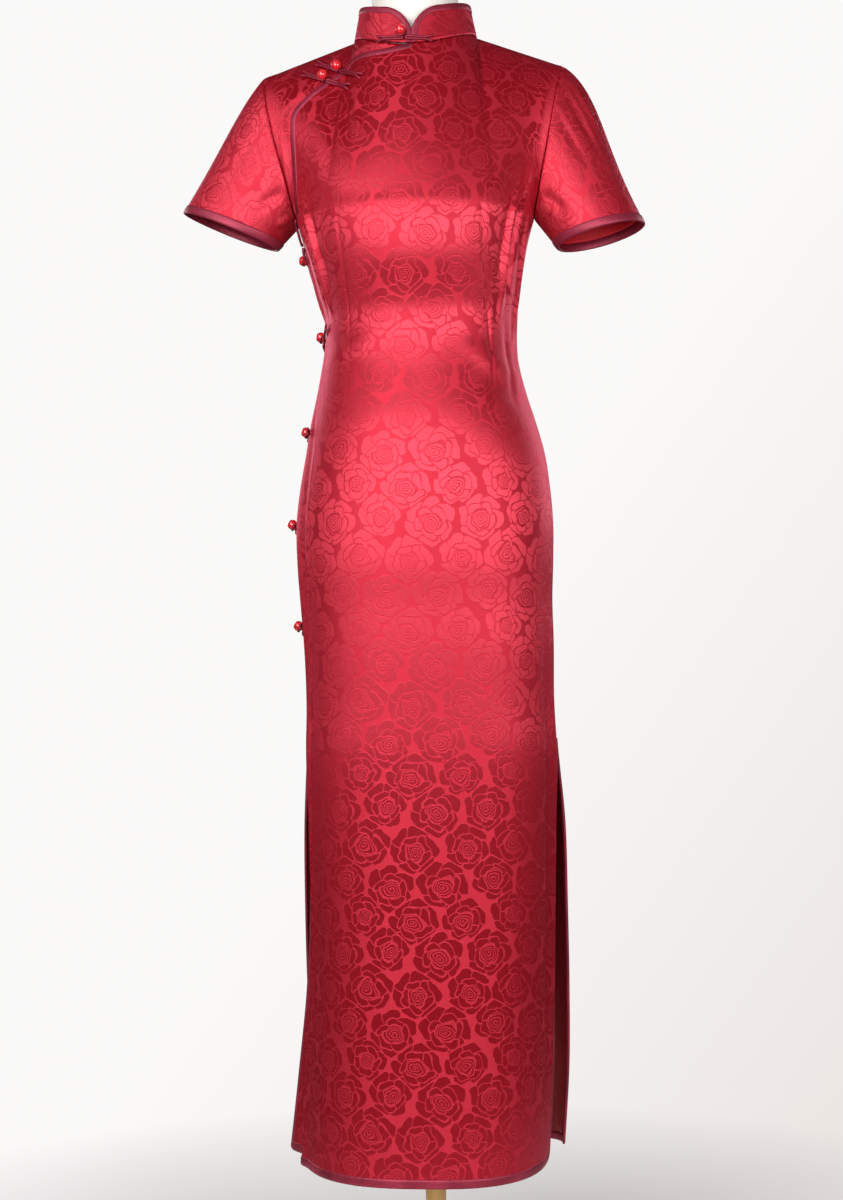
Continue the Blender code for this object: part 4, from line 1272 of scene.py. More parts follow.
@dataclass(frozen=True)
class PlainSatin:
    """Plain satin for bindings and cords, puckered across its length, with painted sheen: lighter
    and darker stretches along it.
    """

    name: str = "maroon_satin_binding"
    # The lighter colour carries painted highlights and the dark one painted shade.
    colour: Colour = (0.44, 0.036, 0.080)
    dark: Colour = (0.19, 0.010, 0.026)
    gloss: float = 0.40
    metallic: float = 0.40
    along: float = 0.55
    pucker: float = 0.0006

    def build(self, effects: Effects) -> Finish:
        """The finish."""
        material, s, shader = shader_of(self.name)
        places = cloth_places(s)
        weave = s.group(effects.weave, Vector=places, Pitch=0.0005)
        streak = weave.outputs["Streak"]
        puckers = s.noise(s.vector("MULTIPLY", places, (60.0, 150.0, 1.0)), 1.0, 1.0).outputs[0]
        painted_sheen_patches = s.noise(s.vector("MULTIPLY", places, (30.0, 26.0, 1.0)), 1.0, 1.0).outputs[0]
        # Painted sheen and shade: noise patches, with the weave's random streaks, swap the lighter
        # colour for the dark one in stretches along the strip.
        shade = s.line(s.math("ADD", painted_sheen_patches, streak), 1.6, -1.1, clamp=True)
        s.put(shader.inputs["Base Color"], s.colours(shade, self.colour, self.dark))
        s.put(shader.inputs["Roughness"], s.line(streak, 0.1, self.gloss))
        shader.inputs["Metallic"].default_value = self.metallic
        cloth_run(s, shader, self.along, ALONG_WARP)
        height = s.line(weave.outputs["Height"], 0.06, puckers)
        bump(s, shader, height, self.pucker, 0.7)
        return Finish(self.name, material)


@dataclass(frozen=True)
class RedLining:
    """Plain red lining cloth."""

    name: str = "red_lining"
    colour: Colour = (0.78, 0.010, 0.024)
    dark: Colour = (0.62, 0.007, 0.018)

    def build(self, effects: Effects) -> Finish:
        """The finish."""
        material, s, shader = shader_of(self.name)
        weave = s.group(effects.weave, Vector=cloth_places(s), Pitch=0.0005)
        s.put(
            shader.inputs["Base Color"], s.colours(weave.outputs["Streak"], self.colour, self.dark)
        )
        s.put(shader.inputs["Roughness"], s.line(weave.outputs["Streak"], 0.15, 0.5))
        bump(s, shader, weave.outputs["Height"], 0.0001, 0.6)
        return Finish(self.name, material)


@dataclass(frozen=True)
class BeadGlass:
    """Glossy red bead glass with a slightly clouded depth."""

    name: str = "red_glass_bead"
    colour: Colour = (0.66, 0.006, 0.016)
    clear: Colour = (0.80, 0.03, 0.04)
    index: float = 1.52

    def build(self) -> Finish:
        """The finish."""
        material, s, shader = shader_of(self.name)
        where = s.place_on_piece()
        cloud = s.noise(where, 160.0, 2.0).outputs[0]
        s.put(shader.inputs["Base Color"], s.colours(cloud, self.colour, self.clear))
        s.put(shader.inputs["Roughness"], s.line(cloud, 0.05, 0.08))
        s.fill(shader, {"Coat Weight": 1.0, "Coat Roughness": 0.03, "IOR": self.index})
        return Finish(self.name, material)


@dataclass(frozen=True)
class FormJersey:
    """The form's off-white jersey cover, a fine knit."""

    name: str = "form_cover"
    colour: Colour = (0.90, 0.865, 0.80)
    shade: Colour = (0.84, 0.79, 0.72)

    def build(self) -> Finish:
        """The finish."""
        material, s, shader = shader_of(self.name)
        where = s.place_on_piece()
        x, y, z = s.parts(where)
        around = s.math("MULTIPLY", s.math("ARCTAN2", y, x), 95.0)
        wales = s.math("ABSOLUTE", s.math("SINE", around))
        courses = s.math("ABSOLUTE", s.math("SINE", s.line(z, 2400.0, wales)))
        fuzz = s.noise(where, 60.0, 3.0).outputs[0]
        s.put(shader.inputs["Base Color"], s.colours(fuzz, self.colour, self.shade))
        s.put(shader.inputs["Roughness"], s.line(fuzz, 0.2, 0.7))
        bump(s, shader, s.math("MULTIPLY", wales, courses), 0.00012, 0.6)
        return Finish(self.name, material)


@dataclass(frozen=True)
class GoldMetal:
    """Honey-gold plated metal with fine drawn lines."""

    name: str = "honey_gold_metal"
    colour: Colour = (0.76, 0.50, 0.20)
    worn: Colour = (0.62, 0.38, 0.14)

    def build(self) -> Finish:
        """The finish."""
        material, s, shader = shader_of(self.name)
        where = s.place_on_piece()
        lines = s.noise(s.vector("MULTIPLY", where, (500.0, 500.0, 12.0)), 1.0, 2.0).outputs[0]
        cloud = s.noise(where, 14.0, 3.0).outputs[0]
        s.put(shader.inputs["Base Color"], s.colours(cloud, self.colour, self.worn))
        s.put(shader.inputs["Roughness"], s.line(lines, 0.12, s.line(cloud, 0.1, 0.2)))
        shader.inputs["Metallic"].default_value = 1.0
        bump(s, shader, lines, 0.00004, 0.5)
        return Finish(self.name, material)


@dataclass
class Finishes:
    """Every finish of the dress and its form."""

    satin: Finish
    binding: Finish
    cord: Finish
    lining: Finish
    skirt_lining: Finish
    glass: Finish
    cover: Finish
    metal: Finish

    @classmethod
    def build(cls) -> "Finishes":
        """Builds every material."""
        effects = Effects.build()
        return cls(
            satin=JacquardSatin().build(effects),
            binding=PlainSatin().build(effects),
            # The cords take the same painted sheen: a lighter colour for highlights and a dark one
            # for shade, in stretches along them.
            cord=PlainSatin(
                colour=(0.36, 0.022, 0.052), dark=(0.20, 0.010, 0.026), pucker=0.0002
            ).build(effects),
            lining=RedLining().build(effects),
            # A darker copy of the red lining for the skirts: its colours paint the shade that falls
            # inside the slits.
            skirt_lining=RedLining(
                colour=(0.34, 0.006, 0.014), dark=(0.24, 0.004, 0.010)
            ).build(effects),
            glass=BeadGlass().build(),
            cover=FormJersey().build(),
            metal=GoldMetal().build(),
        )


def dress(obj: bpy.types.Object, finish: Finish, *nodes: str) -> bpy.types.Object:
    """Finishes a piece, puts it on the frame and hides the CAD nodes that it stands for."""
    obj.data.materials.clear()
    obj.data.materials.append(finish.material)
    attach(obj, ROOT)
    if nodes:
        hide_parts(*nodes)
    log.info("%s: %d faces", obj.name, len(obj.data.polygons))
    return obj


# --- cloth panels -----------------------------------------------------------------------------

Edge = Callable[[np.ndarray], np.ndarray]


def cloth_piece(
    name: str, found: Sampled, thickness: float, finish: Finish, node: str, wrap: bool = False
) -> bpy.types.Object:
    """A sheet of cloth with its thickness and finish, in place of a CAD node.

    Args:
        name: Object name.
        found: Its points, normals and flat places.
        thickness: The cloth's thickness, laid inwards.
        finish: Its finish.
        node: The CAD node that it stands for.
        wrap: Whether its last column joins the first.

    Returns:
        The object.
    """
    points, normals, flat = found
    obj = sheet_mesh(name, points, flat, normals, wrap)
    thicken(obj, thickness)
    return dress(obj, finish, node)


@dataclass
class Cut:
    """The flat size that a piece was cut to: width, length and area."""

    width: float
    length: float
    area: float


@dataclass
class Panel:
    """A panel of a face: a grid of places for each level, its thickness and the size of its cut."""

    name: str
    cut: Cut
    thickness: float = SATIN
    low_rows: int = 150
    high_rows: int = 62
    half_columns: int = 105

    def build(self, face: FaceMap, left_edge: Edge, finish: Finish, node: str) -> bpy.types.Object:
        """The panel.

        Args:
            face: The map of its face.
            left_edge: Gives the place of its left edge at levels.
            finish: Its finish.
            node: The CAD node that it stands for.

        Returns:
            The object.
        """
        shape = face.shape
        levels = shape.levels(self.low_rows, self.high_rows)
        left = left_edge(levels)
        up = np.clip((levels - shape.armpit) / shape.rise, 0, 1)
        middle = 0.5 * up * (left > -0.99)
        share = np.linspace(0, 1, self.half_columns + 1)
        first = left[:, None] + (middle - left)[:, None] * share
        second = middle[:, None] + (1 - middle)[:, None] * share[1:]
        places = np.concatenate([first, second], axis=1)
        found = face.sample(places, np.repeat(levels[:, None], places.shape[1], axis=1))
        return cloth_piece(self.name, found, self.thickness, finish, node)


def declare(obj: bpy.types.Object, cut: Cut, rests_on: str, *trims: bpy.types.Object) -> None:
    """Logs the area of a sheet of cloth's mesh."""
    log.info("%s: %.4f square metres", obj.name, sum(face.area for face in obj.data.polygons))


@dataclass
class EdgePath:
    """Stations along an edge of a cloth map, with the way in from each, per metre."""

    cloth: ClothMap
    first: np.ndarray
    second: np.ndarray
    first_in: np.ndarray
    second_in: np.ndarray
    closed: bool = False

    def at(self, inwards: np.ndarray) -> tuple[np.ndarray, np.ndarray]:
        """Points and normals of the cloth, a row for each station, a column for each distance."""
        first = self.first[:, None] + self.first_in[:, None] * inwards
        second = self.second[:, None] + self.second_in[:, None] * inwards
        points, normals, _ = self.cloth.sample(first, second)
        return points, normals


@dataclass
class Edging:
    """A folded satin strip that wraps a raw edge, rounded in section."""

    name: str
    width: float = EDGE_WIDTH
    thickness: float = SATIN
    puff: float = 0.0011

    def profile(self) -> np.ndarray:
        """The strip's section as (distance in from the edge, height over the cloth's face)."""
        w, p, t = self.width, self.puff, self.thickness
        outer = [(w + 0.0002, 0.00003), (w * 0.985, p * 0.42), (w * 0.92, p * 0.74)]
        outer += [(w * 0.76, p * 0.95)]
        outer += [(w * 0.5, p), (w * 0.25, p * 0.97), (w * 0.08, p * 0.8), (-0.0003, p * 0.25)]
        inner = [(-0.0006, -t * 0.5), (-0.0003, -t - p * 0.3), (w * 0.08, -t - p * 0.6)]
        inner += [
            (w * 0.5, -t - p * 0.75),
            (w * 0.92, -t - p * 0.6),
            (w, -t - 0.0001),
            (w * 0.99, -t * 0.5),
        ]
        return np.array(outer + inner)

    def build(self, path: EdgePath, finish: Finish, *nodes: str) -> bpy.types.Object:
        """The strip along a path, standing for CAD nodes."""
        profile = self.profile()
        inwards = np.maximum(profile[:, 0], 0)
        points, normals = path.at(inwards)
        edge, _ = path.at(np.array([0.0, 0.0008]))
        outward = unit(edge[:, 0] - edge[:, 1])
        points = points + normals * profile[:, 1][None, :, None]
        points += outward[:, None, :] * np.maximum(-profile[:, 0], 0)[None, :, None]
        centre = points.mean(axis=1, keepdims=True)
        along, around = travelled(edge[:, 0]), travelled(profile)
        flat = np.dstack(np.meshgrid(np.append(around, around[-1] + 0.001), along))
        if path.closed:
            rows = np.concatenate([points, points[:1]], axis=0)
            step = along[-1] / (len(along) - 1)
            flat = np.concatenate([flat, flat[-1:] + [0, step]], axis=0)
            obj = sheet_mesh(
                self.name, rows, flat, rows - np.concatenate([centre, centre[:1]]), wrap=True
            )
            weld(obj)
        else:
            obj = sheet_mesh(self.name, points, flat, points - centre, wrap=True)
            close_ends(obj)
        obj.data.set_sharp_from_angle(angle=math.radians(80))
        return dress(obj, finish, *nodes)


@dataclass
class DressCloth:
    """The front, back, underlap, sleeves and their linings."""

    shape: DressShape
    front_map: FaceMap
    back_map: FaceMap
    finishes: Finishes
    front: Panel = field(default_factory=lambda: Panel("dress_front", Cut(0.44, 1.34, 0.52)))
    back: Panel = field(default_factory=lambda: Panel("dress_back", Cut(0.46, 1.36, 0.49)))
    underlap_cut: Cut = field(default_factory=lambda: Cut(0.18, 0.21, 0.016))
    sleeve_cut: Cut = field(default_factory=lambda: Cut(0.36, 0.20, 0.042))
    skirt_lining_cut: Cut = field(default_factory=lambda: Cut(0.42, 0.50, 0.195))
    cuff_lining_cut: Cut = field(default_factory=lambda: Cut(0.33, 0.045, 0.0143))
    underlap_reach: float = 0.012
    underlap_sink: float = 0.0032
    sink_flat: float = 0.001
    sink_run: float = 0.013
    sink_start: float = 0.006
    underlap_thickness: float = 0.0014
    sleeve_thickness: float = 0.0015
    lining_gap: float = 0.0004
    lining_thickness: float = 0.0009
    cuff_lining_reach: float = 0.055

    def left_edge(self, levels: np.ndarray) -> np.ndarray:
        """The place of the front's left edge: the side, and then the slanted opening."""
        up = np.clip((levels - self.shape.armpit) / self.shape.rise, 0, 1)
        return np.where(levels <= self.shape.armpit, -1.0, self.shape.opening_place(up))

    def build_front(self) -> bpy.types.Object:
        """The front, with the overlap of the opening."""
        return self.front.build(self.front_map, self.left_edge, self.finishes.satin, "front")

    def build_back(self) -> bpy.types.Object:
        """The back."""
        return self.back.build(
            self.back_map, lambda levels: np.full(len(levels), -1.0), self.finishes.satin, "back"
        )

    def build_underlap(self) -> bpy.types.Object:
        """The shoulder piece behind the opening, sunk where the front laps it."""
        ups = np.linspace(0, 1, 75)
        levels = self.shape.armpit + ups * self.shape.rise
        edge = self.left_edge(levels)
        path = opening_path(self, ups)
        share = np.linspace(0, 1, 41)
        places = -1 + (edge + 1)[:, None] * share
        rows = np.repeat(levels[:, None], len(share), axis=1)
        under = np.linspace(0, self.underlap_reach, 6)[1:]
        places = np.concatenate(
            [places, path.first[:, None] + path.first_in[:, None] * under], axis=1
        )
        rows = np.concatenate(
            [rows, path.second[:, None] + path.second_in[:, None] * under], axis=1
        )
        points, normals, flat = self.front_map.sample(places, np.minimum(rows, levels[-1]))
        line = points[:, len(share) - 1]
        away = np.linalg.norm(points[:, :, None] - line, axis=3).min(axis=2)
        sink = 1 - ease((away - self.sink_flat) / self.sink_run)
        sink[:, len(share) - 1 :] = 1
        sink *= ease(np.linalg.norm(points - points[:, :1], axis=2) / self.sink_start)
        points = points - normals * (sink * self.underlap_sink)[:, :, None]
        found = (points, normals, flat + [0.031, 0.047])
        return cloth_piece(
            "underlap_shoulder", found, self.underlap_thickness, self.finishes.satin, "underlap"
        )

    def build_sleeve(self, cloth: SleeveMap) -> list[bpy.types.Object]:
        """A sleeve, the lining seen in its mouth and the binding of its cuff."""
        name = cloth.sizes.name
        rows = np.linspace(0, 1, 61)[:, None]
        turns = np.linspace(0, 2, 145)[None, :-1]
        # The flat places need the last turn too, just short of where it counts as the first.
        flat_turns = np.linspace(0, 1.9999, 145)[None, :]
        column_of = np.clip((turns[0] / 2 * cloth.columns).astype(int), 0, cloth.columns)
        length = cloth.flat[-1, column_of, 1]
        points, normals, _ = cloth.sample(turns + 0 * rows, rows * length)
        flat = cloth.sample(flat_turns + 0 * rows, rows * np.append(length, length[0]))[2]
        body = cloth_piece(
            f"sleeve_{name}_cloth",
            (points, normals, flat + [0.05, 0.03]),
            self.sleeve_thickness,
            self.finishes.satin,
            f"sleeve_{name}",
            wrap=True,
        )
        steps = np.linspace(LINING_INSET, self.cuff_lining_reach, 22)[:, None]
        inner, normals, _ = cloth.sample(turns + 0 * steps, steps + 0 * turns)
        flat = cloth.sample(flat_turns + 0 * steps, steps + 0 * flat_turns)[2]
        inner = inner - normals * (self.sleeve_thickness + self.lining_gap)
        lining = cloth_piece(
            f"sleeve_{name}_lining_cloth",
            (inner, normals, flat),
            self.lining_thickness,
            self.finishes.lining,
            f"sleeve_lining_{name}",
            wrap=True,
        )
        stations = np.linspace(0, 2, 181)[:-1]
        still = 0 * stations
        path = EdgePath(cloth, stations, still, still, 1 + still, closed=True)
        edging = Edging(f"cuff_{name}_edging")
        edge = edging.build(path, self.finishes.binding, f"cuff_binding_{name}")
        return [body, lining, edge]

    def build_skirt_lining(self, face: FaceMap, name: str) -> bpy.types.Object:
        """The lining inside one skirt panel, up to the top of the slits."""
        levels = np.linspace(self.shape.hem + LINING_INSET, self.shape.slit + 0.004, 64)
        edge = 1 - LINING_INSET / face.half_at(levels)
        places = edge[:, None] * np.linspace(-1, 1, 97)[None, :]
        points, normals, flat = face.sample(places, np.repeat(levels[:, None], 97, axis=1))
        points = points - normals * (SATIN + self.lining_gap)
        # It takes the darker copy of the red lining, whose colour paints the shade inside the
        # slits.
        return cloth_piece(
            f"skirt_{name}_lining_cloth",
            (points, normals, flat),
            self.lining_thickness,
            self.finishes.skirt_lining,
            f"skirt_lining_{name}",
        )


def opening_path(cloth: DressCloth, ups: np.ndarray) -> EdgePath:
    """Stations along the slanted opening, with the way in square to the edge."""
    shape, face = cloth.shape, cloth.front_map
    levels = shape.armpit + ups * shape.rise
    places = cloth.left_edge(levels)
    here, normals, _ = face.sample(places, levels)
    run = unit(np.gradient(here, axis=0))
    step = 0.006
    across = (face.sample(places + step, levels)[0] - here) / step
    lower = np.minimum(levels, levels[-1] - step * shape.rise)
    upwards = (
        face.sample(places, lower + step * shape.rise)[0] - face.sample(places, lower)[0]
    ) / (step * shape.rise)
    inward = unit(np.cross(run, normals))
    moves = [
        np.linalg.lstsq(np.column_stack([aside, up]), way, rcond=None)[0]
        for aside, up, way in zip(across, upwards, inward)
    ]
    moves = smoothed(np.array(moves), 3)
    return EdgePath(face, places, levels, moves[:, 0], moves[:, 1])


@dataclass
class Bindings:
    """The satin bindings of the opening, the side edge and the skirts."""

    cloth: DressCloth
    opening_width: float = 0.0066

    def side_and_opening(self) -> bpy.types.Object:
        """One strip up the side edge from the slit and along the slanted opening to the neck."""
        shape = self.cloth.shape
        opening = opening_path(self.cloth, np.linspace(0, 1, 120))
        levels = np.linspace(shape.slit + 0.0006, shape.armpit, 150)[:-1]
        half = self.cloth.front_map.half_at(levels)
        blend = ease((levels - (shape.armpit - 0.02)) / 0.02)
        first_in = (1 - blend) / half + blend * opening.first_in[0]
        path = EdgePath(
            self.cloth.front_map,
            np.concatenate([np.full(len(levels), -1.0), opening.first]),
            np.concatenate([levels, opening.second]),
            np.concatenate([first_in, opening.first_in]),
            np.concatenate([blend * opening.second_in[0], opening.second_in]),
        )
        edging = Edging("side_and_opening_edging", self.opening_width)
        return edging.build(path, self.cloth.finishes.binding, "binding_side", "binding_opening")

    def skirt(self, face: FaceMap, name: str) -> bpy.types.Object:
        """One strip down a slit edge, round the corner, along the hem and up the other slit."""
        shape = self.cloth.shape
        levels = np.linspace(shape.slit, shape.hem + EDGE_WIDTH, 110)
        half = face.half_at(levels)
        hem_half = float(face.half_at(np.array([shape.hem]))[0])
        inset = EDGE_WIDTH / hem_half
        places = np.linspace(-1 + inset, 1 - inset, 170)
        corner = np.array([1.0])
        first = [-np.ones(len(levels)), -corner, places, corner, np.ones(len(levels))]
        second = [
            levels,
            corner * shape.hem,
            np.full(len(places), shape.hem),
            corner * shape.hem,
            levels[::-1],
        ]
        first_in = [1 / half, corner / hem_half, 0 * places, -corner / hem_half, -1 / half[::-1]]
        second_in = [0 * levels, corner, 1 + 0 * places, corner, 0 * levels]
        path = EdgePath(
            face, *(np.concatenate(part) for part in (first, second, first_in, second_in))
        )
        return Edging(f"skirt_{name}_edging").build(
            path, self.cloth.finishes.binding, f"binding_{name}_skirt"
        )


@dataclass
class Collar:
    """The stand collar with its binding."""

    cloth: CollarMap
    finishes: Finishes
    cut: Cut = field(default_factory=lambda: Cut(0.43, 0.045, 0.0165))
    thickness: float = 0.0022
    edge_width: float = 0.0068
    edge_puff: float = 0.0009

    def build(self) -> list[bpy.types.Object]:
        """The collar and its edging."""
        turns = np.linspace(-math.pi, math.pi, 221)
        shares = np.linspace(0, 1, 17)[:, None]
        heights = shares * self.cloth.height(turns)[None, :]
        found = self.cloth.sample(turns[None, :] + 0 * shares, heights)
        collar = cloth_piece("stand_collar", found, self.thickness, self.finishes.satin, "collar")
        edging = Edging("collar_edging", self.edge_width, self.thickness, self.edge_puff)
        return [collar, edging.build(self.outline(), self.finishes.binding, "collar_binding")]

    def outline(self) -> EdgePath:
        """The collar's free edge, up one rounded end, round the top and down the other."""
        ends = 1 - np.linspace(1, 0, 60) ** 2
        turns = np.concatenate(
            [-math.pi + 0.55 * (1 - np.sqrt(1 - ends**2)), np.linspace(-math.pi + 0.56, 0, 90)[:-1]]
        )
        turns = np.concatenate([turns, [0.0], -turns[::-1]])
        heights = self.cloth.height(turns)
        rise = np.linspace(0, 1, 7)[:-1]
        low = heights[0]
        turns = np.concatenate([np.full(6, turns[0]), turns, np.full(6, turns[-1])])
        heights = np.concatenate([rise * low, heights, (rise * low)[::-1]])
        reach = self.cloth.shape.neck_half * 0.94
        run = unit(np.column_stack([np.gradient(turns * reach), np.gradient(heights)]))
        run = unit(smoothed(run, 4))
        return EdgePath(self.cloth, turns, heights, run[:, 1] / reach, -run[:, 0])


# --- frog fastenings --------------------------------------------------------------------------


@dataclass(frozen=True)
class FrogPlace:
    """A frog: its middle, seen from the front or the side, its cords' tilt in degrees, and how far
    along the cords, across them and over the cloth its bead is held."""

    name: str
    across: float
    height: float
    from_side: bool
    tilt: float
    bead_along: float
    bead_across: float
    bead_over: float


@dataclass
class Frogs:
    """The bead fastenings: a pair of cord wings, a knotted loop and a glass bead each."""

    finishes: Finishes
    ground: Sequence[bpy.types.Object]
    cord: float = 0.0015
    space: float = 0.0031
    bead: float = 0.0060
    reach: float = 0.032
    start: float = 0.0035
    tail_spread: float = 0.0014
    cord_clear: float = 0.0002
    far: float = 0.5
    places: tuple = (
        FrogPlace("collar", -0.008, 1.5135, False, 3, -0.0045, 0.0085, 0.0006),
        FrogPlace("chest_upper", -0.0875, 1.4860, False, 27, -0.0060, 0.0045, 0.0024),
        FrogPlace("chest_lower", -0.1030, 1.4740, False, 24, -0.0060, 0.0045, 0.0024),
        FrogPlace("side_1", -0.004, 1.2860, True, 62, 0.0180, 0.0030, 0.0014),
        FrogPlace("side_2", -0.004, 1.1720, True, 28, 0.0, 0.0080, 0.0006),
        FrogPlace("side_3", -0.004, 1.0590, True, 12, 0.0, 0.0080, 0.0006),
        FrogPlace("side_4", -0.002, 0.9500, True, 8, 0.0, 0.0080, 0.0006),
        FrogPlace("side_5", -0.004, 0.8300, True, 14, 0.0, 0.0080, 0.0006),
    )

    def build(self) -> list[bpy.types.Object]:
        """Every frog."""
        graph = bpy.context.evaluated_depsgraph_get()
        trees = [BVHTree.FromObject(obj, graph) for obj in self.ground]
        made = []
        for place in self.places:
            made += self.build_frog(place, trees)
        return made

    def frame(self, place: FrogPlace) -> tuple[np.ndarray, np.ndarray, np.ndarray, np.ndarray]:
        """A far start, the cords' direction, the direction across them, and the way in."""
        x, y, up = np.eye(3)
        aside, towards = (y, x) if place.from_side else (x, y)
        tilt = math.radians(place.tilt)
        start = place.across * aside + place.height * up - self.far * towards
        along = math.cos(tilt) * aside - math.sin(tilt) * up
        across = math.sin(tilt) * aside + math.cos(tilt) * up
        return start, along, across, towards

    def depth(self, start: np.ndarray, towards: np.ndarray, trees: Sequence[BVHTree]) -> float:
        """How far off the first cloth is."""
        met = [tree.ray_cast(Vector(start), Vector(towards))[3] for tree in trees]
        found = [value for value in met if value is not None]
        return min(found) if found else math.inf

    def lay(
        self, flat: np.ndarray, frame: tuple, trees: Sequence[BVHTree], over: float
    ) -> np.ndarray:
        """Lays a flat route (along, across, extra height) on the cloth."""
        origin, along, across, towards = frame
        starts = origin + flat[:, :1] * along + flat[:, 1:2] * across
        depths = np.array([self.depth(start, towards, trees) for start in starts])
        depths[~np.isfinite(depths)] = np.min(depths)
        near = np.array([depths[max(0, i - 3) : i + 4].min() for i in range(len(depths))])
        near = smoothed(near[:, None], 3)[:, 0]
        return starts + towards * (near - over - flat[:, 2])[:, None]

    def wing(self, way: int) -> np.ndarray:
        """A cord laid from its tail up to the middle and back, in the plane of the cloth."""
        half, reach = self.space / 2, self.reach
        t = np.linspace(0, 1, 26)
        out = self.start + (reach - self.start) * t
        tail = self.tail_spread * ease((t - 0.75) / 0.25)
        spread = half + tail - 0.0002 * np.sin(math.pi * t)
        turn = np.linspace(-math.pi / 2, math.pi / 2, 9)
        head_x = self.start - 0.0016 * np.cos(turn)
        head = np.column_stack([head_x, -half * np.sin(turn), 0 * turn])
        there = np.column_stack([out, spread, 0.0002 * np.sin(9 * t)])[::-1]
        back = np.column_stack([out, -spread, 0.0002 * np.cos(8 * t)])
        route = np.concatenate([there, head[1:-1], back])
        return route * np.array([way, 1, 1])

    def build_frog(self, place: FrogPlace, trees: Sequence[BVHTree]) -> list[bpy.types.Object]:
        """One frog's wings, loop and bead."""
        frame = self.frame(place)
        made = []
        for part, way in (("loop", -1), ("knot", 1)):
            route = self.lay(self.wing(way), frame, trees, self.cord + self.cord_clear)
            obj = sweep(f"frog_{place.name}_{part}_cord", route, np.full(len(route), self.cord))
            made.append(dress(obj, self.finishes.cord, f"frog_{place.name}_{part}"))
        seat = np.array(
            [[place.bead_along, place.bead_across + step, 0.0] for step in (-0.003, 0.0, 0.003)]
        )
        centre = self.lay(seat, frame, trees, self.bead + place.bead_over)[1]
        made.append(self.build_bead(place, centre))
        made.append(self.build_shank(place, frame, centre))
        return made

    def build_bead(self, place: FrogPlace, centre: np.ndarray) -> bpy.types.Object:
        """The bead, a little taller than round."""
        turns = np.linspace(0, math.pi, 22)[1:-1]
        profile = np.column_stack([np.sin(turns) * self.bead, np.cos(turns) * self.bead])
        obj = turned(f"frog_{place.name}_bead_glass", profile, 36)
        obj.data.transform(Matrix.Translation(Vector(centre)))
        for polygon in obj.data.polygons:
            polygon.use_smooth = True
        return dress(obj, self.finishes.glass, f"frog_{place.name}_bead")

    def build_shank(self, place: FrogPlace, frame: tuple, centre: np.ndarray) -> bpy.types.Object:
        """The cord ring that holds the bead down to its wings."""
        _, along, across, towards = frame
        turns = np.linspace(0.15 * math.pi, 1.85 * math.pi, 30)
        radius = self.bead * 0.86
        middle = centre - across * self.bead * 0.42 + towards * self.bead * 0.35
        ring = middle + radius * (
            np.cos(turns + math.pi / 2)[:, None] * (across * 0.8 + towards * 0.5)
            + np.sin(turns + math.pi / 2)[:, None] * along
        )
        obj = sweep(f"frog_{place.name}_shank_cord", ring, np.full(len(ring), self.cord * 0.72), 10)
        return dress(obj, self.finishes.cord)


# --- the dress form ---------------------------------------------------------------------------


